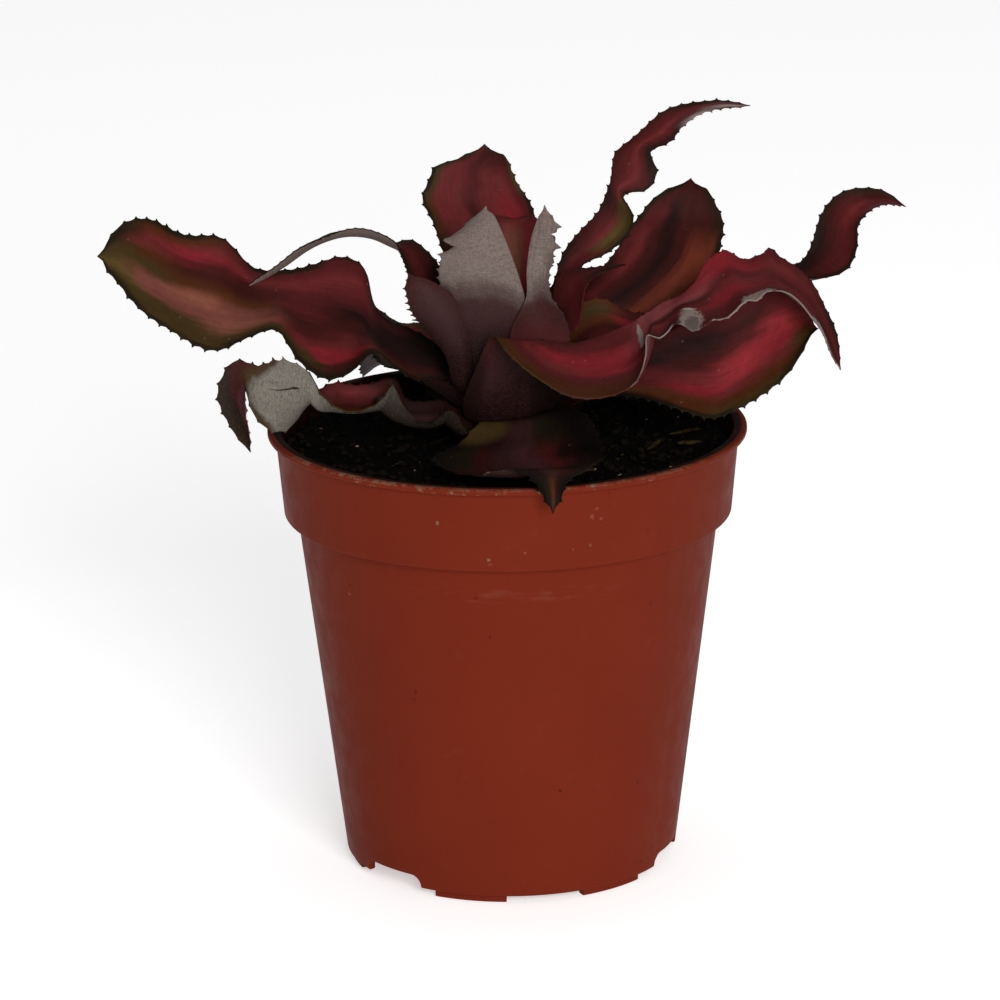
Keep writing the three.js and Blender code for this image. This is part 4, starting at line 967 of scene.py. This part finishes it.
def pot_finish(pot):
    """Injection-moulded polypropylene, dyed terracotta: satin, with scuffs, dirt, hard-water specks and a
    painted highlight on the rim.
    """
    material, tree = new_material("moulded polypropylene")
    place = add_node(tree, "TexCoord")["Object"]
    _, depth, height = add_node(tree, "SeparateXYZ", None, {0: place})
    # Clouded dye, brushed patches, where dirt is rare, crumbly edges and moulding grain, by size in mm.
    cloud, brushed, rare, crumbly, fine = (
        add_node(tree, "TexNoise", None, {"Vector": place, "Scale": 1 / (size * MM), "Detail": detail})["Fac"]
        for size, detail in ((22, 3.0), (4, 4.0), (14, 1.0), (0.5, 2.0), (0.7, 3.0)))
    inputs = {"Vector": place, "Scale": 1 / (1.6 * MM), "Detail": 4.0, "Roughness": 0.7}
    crust = add_node(tree, "TexNoise", None, inputs)["Fac"]
    # Dirt sits in small dark specks; hard water leaves pale ones, most on the rim's front, with a painted
    # highlight.
    speck = add_node(tree, "TexVoronoi", None, {"Vector": place, "Scale": 1 / (6 * MM)})["Distance"]
    dirt = mask_where(tree, (speck, 0.09, 0.05), (rare, 0.52, 0.58), strength=0.3)
    front = (depth, -30 * MM, -40 * MM)
    splashed = mask_where(tree, front, (height, 82.6 * MM, 83.6 * MM), (crust, 0.56, 0.66))
    patchy = add_node(tree, "MapRange", EASED, {0: cloud, 1: 0.4, 2: 0.52, 3: 0.225, 4: 0.75})[0]
    # Along the top of the front rim: hard-water specks and a painted highlight line.
    rim_top_highlight_and_lime = mask_where(tree, (depth, -16 * MM, -28 * MM), (height, 83.75 * MM, 84.1 * MM), (crust, 0.4, 0.55),
                      strength=patchy)
    lime_and_rim_highlight = add_node(tree, "Math", LARGER, {0: splashed, 1: rim_top_highlight_and_lime})[0]
    lime_and_rim_highlight_share = add_node(tree, "Math", TIMES, {0: lime_and_rim_highlight, 1: 0.75})[0]
    # The inside of the wall, up to just under the rim, and the brim's inner edge are darkened nearly to
    # black.
    level_place = add_node(tree, "VectorMath", TIMES, {0: place, 1: (1, 1, 0)})[0]
    radius = add_node(tree, "VectorMath", {"operation": "LENGTH"}, {0: level_place})["Value"]
    taper = add_node(tree, "Math", TIMES_PLUS, {0: height, 1: -0.093, 2: 84 * MM * 0.093})[0]
    straight = add_node(tree, "Math", None, {0: radius, 1: taper})[0]
    inside = mask_where(tree, (straight, 43.1 * MM, 42.85 * MM), (height, 71 * MM, 75 * MM), strength=0.92)
    brim = mask_where(tree, (height, 83.2 * MM, 83.7 * MM), (radius, 44.3 * MM, 43.7 * MM), strength=0.92)
    inward = add_node(tree, "Math", LARGER, {0: inside, 1: brim})[0]
    # Scuffs run round the wall under the collar, seven times as long as they are high.
    across = 1 / (5 * MM)
    squeezed = add_node(tree, "VectorMath", TIMES, {0: place, 1: (across, across, 7 * across)})[0]
    scuff = add_node(tree, "TexNoise", None, {"Vector": squeezed, "Scale": 1.0, "Detail": 3.0})["Fac"]
    scuffed = mask_where(tree, (height, 60.5 * MM, 62 * MM), (height, 64.5 * MM, 63.5 * MM), front,
                         (scuff, 0.5, 0.68), strength=0.22)
    base = with_alpha(pot.colour)
    colour = layered(tree, with_alpha([0.93 * c for c in base]), (mask_where(tree, (cloud, 0.3, 0.7)), base),
                     (mask_where(tree, (brushed, 0.6, 0.8), strength=0.08), own_colour("salmon")),
                     (dirt, own_colour("dark")), (lime_and_rim_highlight_share, own_colour("straw")),
                     (mask_where(tree, (crust, 0.15, 0.42), strength=inward), own_colour("soot")),
                     (scuffed, own_colour("salmon")))
    for name, direction, z, size in POT_MARKS:
        spot = around(wall_radius(z), direction, z) * MM
        distance = add_node(tree, "VectorMath", {"operation": "DISTANCE"}, {0: place, 1: spot})["Value"]
        uneven = wandered(tree, distance, (crumbly, 1.4 * MM))
        mask = mask_where(tree, (uneven, size * MM, 0.3 * size * MM), strength=0.6)
        colour = layered(tree, colour, (mask, own_colour(name)))
    # The mould's satin wears smoother in patches; hard-water specks and the painted rim highlight are dull.
    satin = add_node(tree, "MapRange", EASED, {0: brushed, 1: 0.3, 2: 0.7, 3: 0.46, 4: 0.58})[0]
    gloss = add_node(tree, "Math", TIMES_PLUS, {0: lime_and_rim_highlight, 1: 0.4, 2: satin})[0]
    relief = add_node(tree, "Math", TIMES_PLUS, {0: cloud, 1: 2.0, 2: fine})[0]
    bump = add_node(tree, "Bump", None, {"Strength": 0.12, "Distance": 0.15 * MM, "Height": relief})[0]
    return surfaced(material, {"Base Color": colour, "Roughness": gloss, "IOR": 1.49,
                               "Specular IOR Level": 0.025, "Normal": bump})


class EARTHSTAR_OT_pot(bpy.types.Operator):
    """Builds the moulded pot with its collar, lip, notches, feet and drain holes"""
    bl_idname = "earthstar.pot"
    bl_label = "Pot"

    def execute(self, context):
        pot = context.scene.earthstar_pot
        wall = spun_mesh(pot_profile(pot), pot.steps)
        piece = finish_piece(wall, "pot_wall", [pot_finish(pot)], ["pot"])
        apart = 360 / DRAINS["count"]
        drains = [drain_cutter(DRAINS["first"] + apart * i) for i in range(DRAINS["count"])]
        joined_with(piece, [notch_cutter(a) for a in NOTCH_ANGLES] + drains, "DIFFERENCE")
        joined_with(piece, [foot_pad(span) for span in PAD_SPANS], "UNION")
        piece.data.shade_smooth()
        piece.data.set_sharp_from_angle(angle=math.radians(35))
        return {"FINISHED"}


# Soil.

# The soil's own sizes in mm: its outline up the wall, and the plain hole for the stem.
SOIL_SIDES = ((0, 5.9), (30.2, 5.9), (37.9, 66.0), (40.7, 69.8))
SOIL_RIM, SOIL_DROP = 41.7, 0.5
HOLE_RADIUS, HOLE_FLOOR = 4.95, 70.2
SOIL_RINGS, SOIL_STEPS = 84, 200


def soil_height(x, y, level):
    """Height of the peat's surface: slow swells, clods of a few millimetres and grains on them."""
    place = Vector((x, y, 0)) / MM
    swell = 0.35 * math.sin(0.55 * place.x + 0.21 * place.y + 1.3)
    swell += 0.25 * math.sin(0.83 * place.x - 0.71 * place.y)
    clods = 0.8 * noise.fractal(place / 3.2, 1.0, 2.0, 4)
    return level + (swell + clods) * MM


def soil_mesh(level):
    """The pot's filling, with a fine uneven top and a plain hole for the stem."""
    profile = [(r * MM, z * MM) for r, z in SOIL_SIDES]
    profile.append((SOIL_RIM * MM, level - SOIL_DROP * MM))
    top = SOIL_RIM - 0.2
    for i in range(1, SOIL_RINGS + 1):
        profile.append(((top + (HOLE_RADIUS - top) * i / SOIL_RINGS) * MM, level))
    profile += [(HOLE_RADIUS * MM, HOLE_FLOOR * MM), (0, HOLE_FLOOR * MM)]
    bm = spun_mesh(profile, SOIL_STEPS)
    for v in bm.verts:
        if abs(v.co.z - level) < 1e-6:
            radius = math.hypot(v.co.x, v.co.y)
            rim = min(1, (SOIL_RIM * MM - radius) / (1.5 * MM))
            v.co.z = level + (soil_height(v.co.x, v.co.y, level) - level) * max(0, rim)
    return bm


def soil_finish(soil):
    """Moist peat: nearly black, matt, with brown fibres and grains."""
    material, tree = new_material("moist peat")
    place = add_node(tree, "TexCoord")["Object"]
    inputs = {"Vector": place, "Scale": 1 / (1.1 * MM), "Detail": 5.0, "Roughness": 0.7}
    grains = add_node(tree, "TexNoise", None, inputs)["Fac"]
    clods = add_node(tree, "TexNoise", None, {"Vector": place, "Scale": 1 / (5 * MM), "Detail": 3.0})["Fac"]
    base = with_alpha(soil.colour)
    colour = layered(tree, with_alpha([0.45 * c for c in base]), (mask_where(tree, (clods, 0.35, 0.7)), base),
                     (mask_where(tree, (grains, 0.6, 0.72), strength=0.5), own_colour("olive")))
    bump = add_node(tree, "Bump", None, {"Strength": 0.9, "Distance": 0.6 * MM, "Height": grains})[0]
    return surfaced(material, {"Base Color": colour, "Roughness": 0.92, "Specular IOR Level": 0.03,
                               "Normal": bump})


def plain_finish(name, first, second, roughness, size):
    """A matt finish that wanders between two colours over the size given."""
    material, tree = new_material(name)
    place = add_node(tree, "TexCoord")["Object"]
    cloud = add_node(tree, "TexNoise", None, {"Vector": place, "Scale": 1 / size, "Detail": 4.0})["Fac"]
    mask = mask_where(tree, (cloud, 0.35, 0.65))
    colour = layered(tree, own_colour(first), (mask, own_colour(second)))
    bump = add_node(tree, "Bump", None, {"Strength": 0.5, "Distance": size / 8, "Height": cloud})[0]
    return surfaced(material, {"Base Color": colour, "Roughness": roughness, "Specular IOR Level": 0.05,
                               "Normal": bump})


def scatter_lumps(bm, mesh, chance, count, sizes, stretch, level):
    """Adds small uneven lumps that lie on the soil between the stem and the wall, by a seeded draw."""
    for _ in range(count):
        radius = math.sqrt(chance.uniform(6.0 ** 2, 41.2 ** 2)) * MM
        turn = chance.uniform(0, TURN)
        x, y = radius * math.cos(turn), radius * math.sin(turn)
        size = chance.uniform(*sizes) * MM
        spin = Matrix.Rotation(chance.uniform(0, TURN), 4, "Z")
        spin @= Matrix.Rotation(chance.uniform(-0.5, 0.5), 4, "Y")
        place = Matrix.Translation((x, y, soil_height(x, y, level) + 0.25 * size))
        shape = Matrix.Diagonal((chance.uniform(*stretch) * size, size, chance.uniform(0.5, 0.8) * size, 1))
        lump = bmesh.new()
        bmesh.ops.create_icosphere(lump, subdivisions=1, radius=1, matrix=place @ spin @ shape)
        for v in lump.verts:
            v.co += v.normal * size * chance.uniform(-0.3, 0.15)
        lump.to_mesh(mesh)
        lump.free()
        bm.from_mesh(mesh)


# Bits that lie where they can be seen: place in mm, length, width and direction in degrees.
LITTER = [(27.4, -6, 8, 1.1, 68), (33.6, 3.4, 8, 0.9, 35), (34.1, -4.7, 5.5, 1.2, 12), (-20, -13, 3, 0.8, 40),
          (11.4, 23.2, 4, 0.9, 10), (23.8, 26.3, 5, 1, 150), (-26, 24, 5, 0.9, 80), (1, 33, 6, 1, 20)]
PALE_GRAINS = [(-35.4, 8.5, 0.9, 0.7, 0), (-28.2, -0.9, 0.8, 0.6, 30), (-15, 15.6, 0.8, 0.7, 60),
               (-2, -11.5, 0.7, 0.6, 0), (4.7, -13.8, 0.9, 0.7, 20), (9.6, -22.8, 0.8, 0.6, 0),
               (20.5, -24.5, 0.9, 0.6, 45), (30, -20, 0.7, 0.6, 10), (-10, 30, 0.9, 0.7, 0)]


def laid_lumps(bm, mesh, chance, places, level):
    """Adds uneven bits at the places given."""
    for x, y, length, width, direction in places:
        z = soil_height(x * MM, y * MM, level) + 0.4 * width * MM
        place = Matrix.Translation((x * MM, y * MM, z))
        spin = Matrix.Rotation(math.radians(direction), 4, "Z")
        shape = Matrix.Diagonal((length * MM / 2, width * MM / 2, width * MM / 3, 1))
        lump = bmesh.new()
        bmesh.ops.create_icosphere(lump, subdivisions=2, radius=1, matrix=place @ spin @ shape)
        for v in lump.verts:
            v.co += v.normal * width * MM * chance.uniform(-0.2, 0.1)
        lump.to_mesh(mesh)
        lump.free()
        bm.from_mesh(mesh)


class EARTHSTAR_OT_soil(bpy.types.Operator):
    """Builds the peat and the loose crumbs, fibres and pale grains on it"""
    bl_idname = "earthstar.soil"
    bl_label = "Soil"

    def execute(self, context):
        soil = context.scene.earthstar_soil
        finish_piece(soil_mesh(soil.level), "soil_peat", [soil_finish(soil)], ["soil"])
        chance = random.Random(7)
        # Crumbs are as dark and matt as the peat, bark is brown, and sand is pale and shines a little.
        kinds = [
            ("soil_crumbs", 0.94, (0.3, 1.0), (0.9, 1.6), [],
             plain_finish("peat crumbs", "soot", "peat", 0.95, 2 * MM)),
            ("soil_bark", 0.04, (0.2, 0.5), (1.2, 4.0), LITTER,
             plain_finish("bark bits", "shade", "olive", 0.9, MM)),
            ("soil_grains", 0.02, (0.12, 0.3), (0.9, 1.3), PALE_GRAINS,
             plain_finish("sand grains", "drab", "straw", 0.7, MM)),
        ]
        for name, share, sizes, stretch, laid, finish in kinds:
            bm = bmesh.new()
            lump = bpy.data.meshes.new("lump")
            scatter_lumps(bm, lump, chance, round(soil.crumbs * share), sizes, stretch, soil.level)
            laid_lumps(bm, lump, chance, laid, soil.level)
            bpy.data.meshes.remove(lump)
            finish_piece(bm, name, [finish])
        return {"FINISHED"}


class EARTHSTAR_OT_stem(bpy.types.Operator):
    """Builds the short stem with its rings of old leaf scars"""
    bl_idname = "earthstar.stem"
    bl_label = "Stem"

    def execute(self, context):
        profile = [(0, STEM_FOOT * MM)]
        rings = 60
        for i in range(rings + 1):
            z = STEM_FOOT + (STEM_TOP - STEM_FOOT) * i / rings
            ring = 0.12 * abs(math.sin(z * 1.9))
            profile.append(((stem_radius(z) - ring) * MM, z * MM))
        profile.append((0, STEM_TOP * MM))
        # Cork dries matt, and its cracks let the eye see where leaves have been.
        finish = plain_finish("corky stem", "shade", "umber", 0.85, 3 * MM)
        finish_piece(spun_mesh(profile, 48), "stem_core", [finish], ["stem"])
        return {"FINISHED"}


class EARTHSTAR_OT_stage(bpy.types.Operator):
    """Sets up the pale floor, the soft lights and the camera"""
    bl_idname = "earthstar.stage"
    bl_label = "Stage"

    def execute(self, context):
        stage = context.scene.earthstar_stage
        bm = bmesh.new()
        bmesh.ops.create_grid(bm, x_segments=1, y_segments=1, size=stage.floor / 2)
        mesh = bpy.data.meshes.new("floor")
        bm.to_mesh(mesh)
        bm.free()
        floor = bpy.data.objects.new("floor", mesh)
        # Matt paper that glows a little, so that the floor is as white as the background.
        material, _ = new_material("white paper")
        surfaced(material, {"Base Color": (0.96, 0.96, 0.96, 1), "Roughness": 0.9,
                            "Emission Color": (1, 1, 1, 1), "Emission Strength": stage.glow})
        mesh.materials.append(material)
        context.scene.collection.objects.link(floor)
        world = bpy.data.worlds.new("studio")
        world.use_nodes = True
        world.node_tree.nodes.clear()
        sky = add_node(world.node_tree, "Background", None, {"Color": (1, 1, 1, 1), "Strength": stage.sky})
        add_node(world.node_tree, "OutputWorld", None, {"Surface": sky["Background"]})
        context.scene.world = world
        self.lamp(context, "top", (0, 0.6, 2.2), 3.0, stage.top)
        self.lamp(context, "key", (0.35, -1.4, 0.62), 0.6, stage.key)
        context.scene.view_settings.view_transform = "Standard"
        self.camera(context)
        return {"FINISHED"}

    def lamp(self, context, name, place, size, power):
        """A square soft light that looks at the plant."""
        data = bpy.data.lights.new(name, "AREA")
        data.size = size
        data.energy = power
        lamp = bpy.data.objects.new(name, data)
        lamp.location = place
        aim = Vector((0, 0, 80 * MM)) - lamp.location
        lamp.rotation_euler = aim.to_track_quat("-Z", "Y").to_euler()
        context.scene.collection.objects.link(lamp)

    def camera(self, context):
        """The photograph's viewpoint: from the front, 16 degrees above the horizon, about a metre away."""
        data = bpy.data.cameras.new("camera")
        data.sensor_width = 36
        data.lens = 189.73
        camera = bpy.data.objects.new("camera", data)
        camera.location = (-1.494 * MM, -953.27 * MM, 348.81 * MM)
        tilt = Matrix.Rotation(math.radians(90 - 16.34), 4, "X")
        roll = Matrix.Rotation(math.radians(-0.617), 4, "Z")
        camera.rotation_euler = (tilt @ roll).to_euler()
        context.scene.collection.objects.link(camera)
        context.scene.camera = camera


class EARTHSTAR_PT_panel(bpy.types.Panel):
    """The steps of the build, in the 3D view's sidebar"""
    bl_idname = "EARTHSTAR_PT_panel"
    bl_label = "Earth star"
    bl_space_type = "VIEW_3D"
    bl_region_type = "UI"
    bl_category = "Earth star"

    def draw(self, context):
        for step in STEPS:
            self.layout.operator(step.bl_idname)


STEPS = (EARTHSTAR_OT_stage, EARTHSTAR_OT_pot, EARTHSTAR_OT_soil, EARTHSTAR_OT_stem, EARTHSTAR_OT_leaves)
GROUPS = {
    "earthstar_pot": PotSettings, "earthstar_soil": SoilSettings,
    "earthstar_leaf": LeafSettings, "earthstar_stage": StageSettings,
}


def register():
    for item in (*GROUPS.values(), *STEPS, EARTHSTAR_PT_panel):
        bpy.utils.register_class(item)
    for name, group in GROUPS.items():
        setattr(bpy.types.Scene, name, PointerProperty(type=group))


def unregister():
    for name in GROUPS:
        delattr(bpy.types.Scene, name)
    for item in reversed((*GROUPS.values(), *STEPS, EARTHSTAR_PT_panel)):
        bpy.utils.unregister_class(item)


def main():
    register()
    bpy.ops.earthstar.stage()
    bpy.ops.earthstar.pot()
    bpy.ops.earthstar.soil()
    bpy.ops.earthstar.stem()
    bpy.ops.earthstar.leaves()


if __name__ == "__main__":
    main()
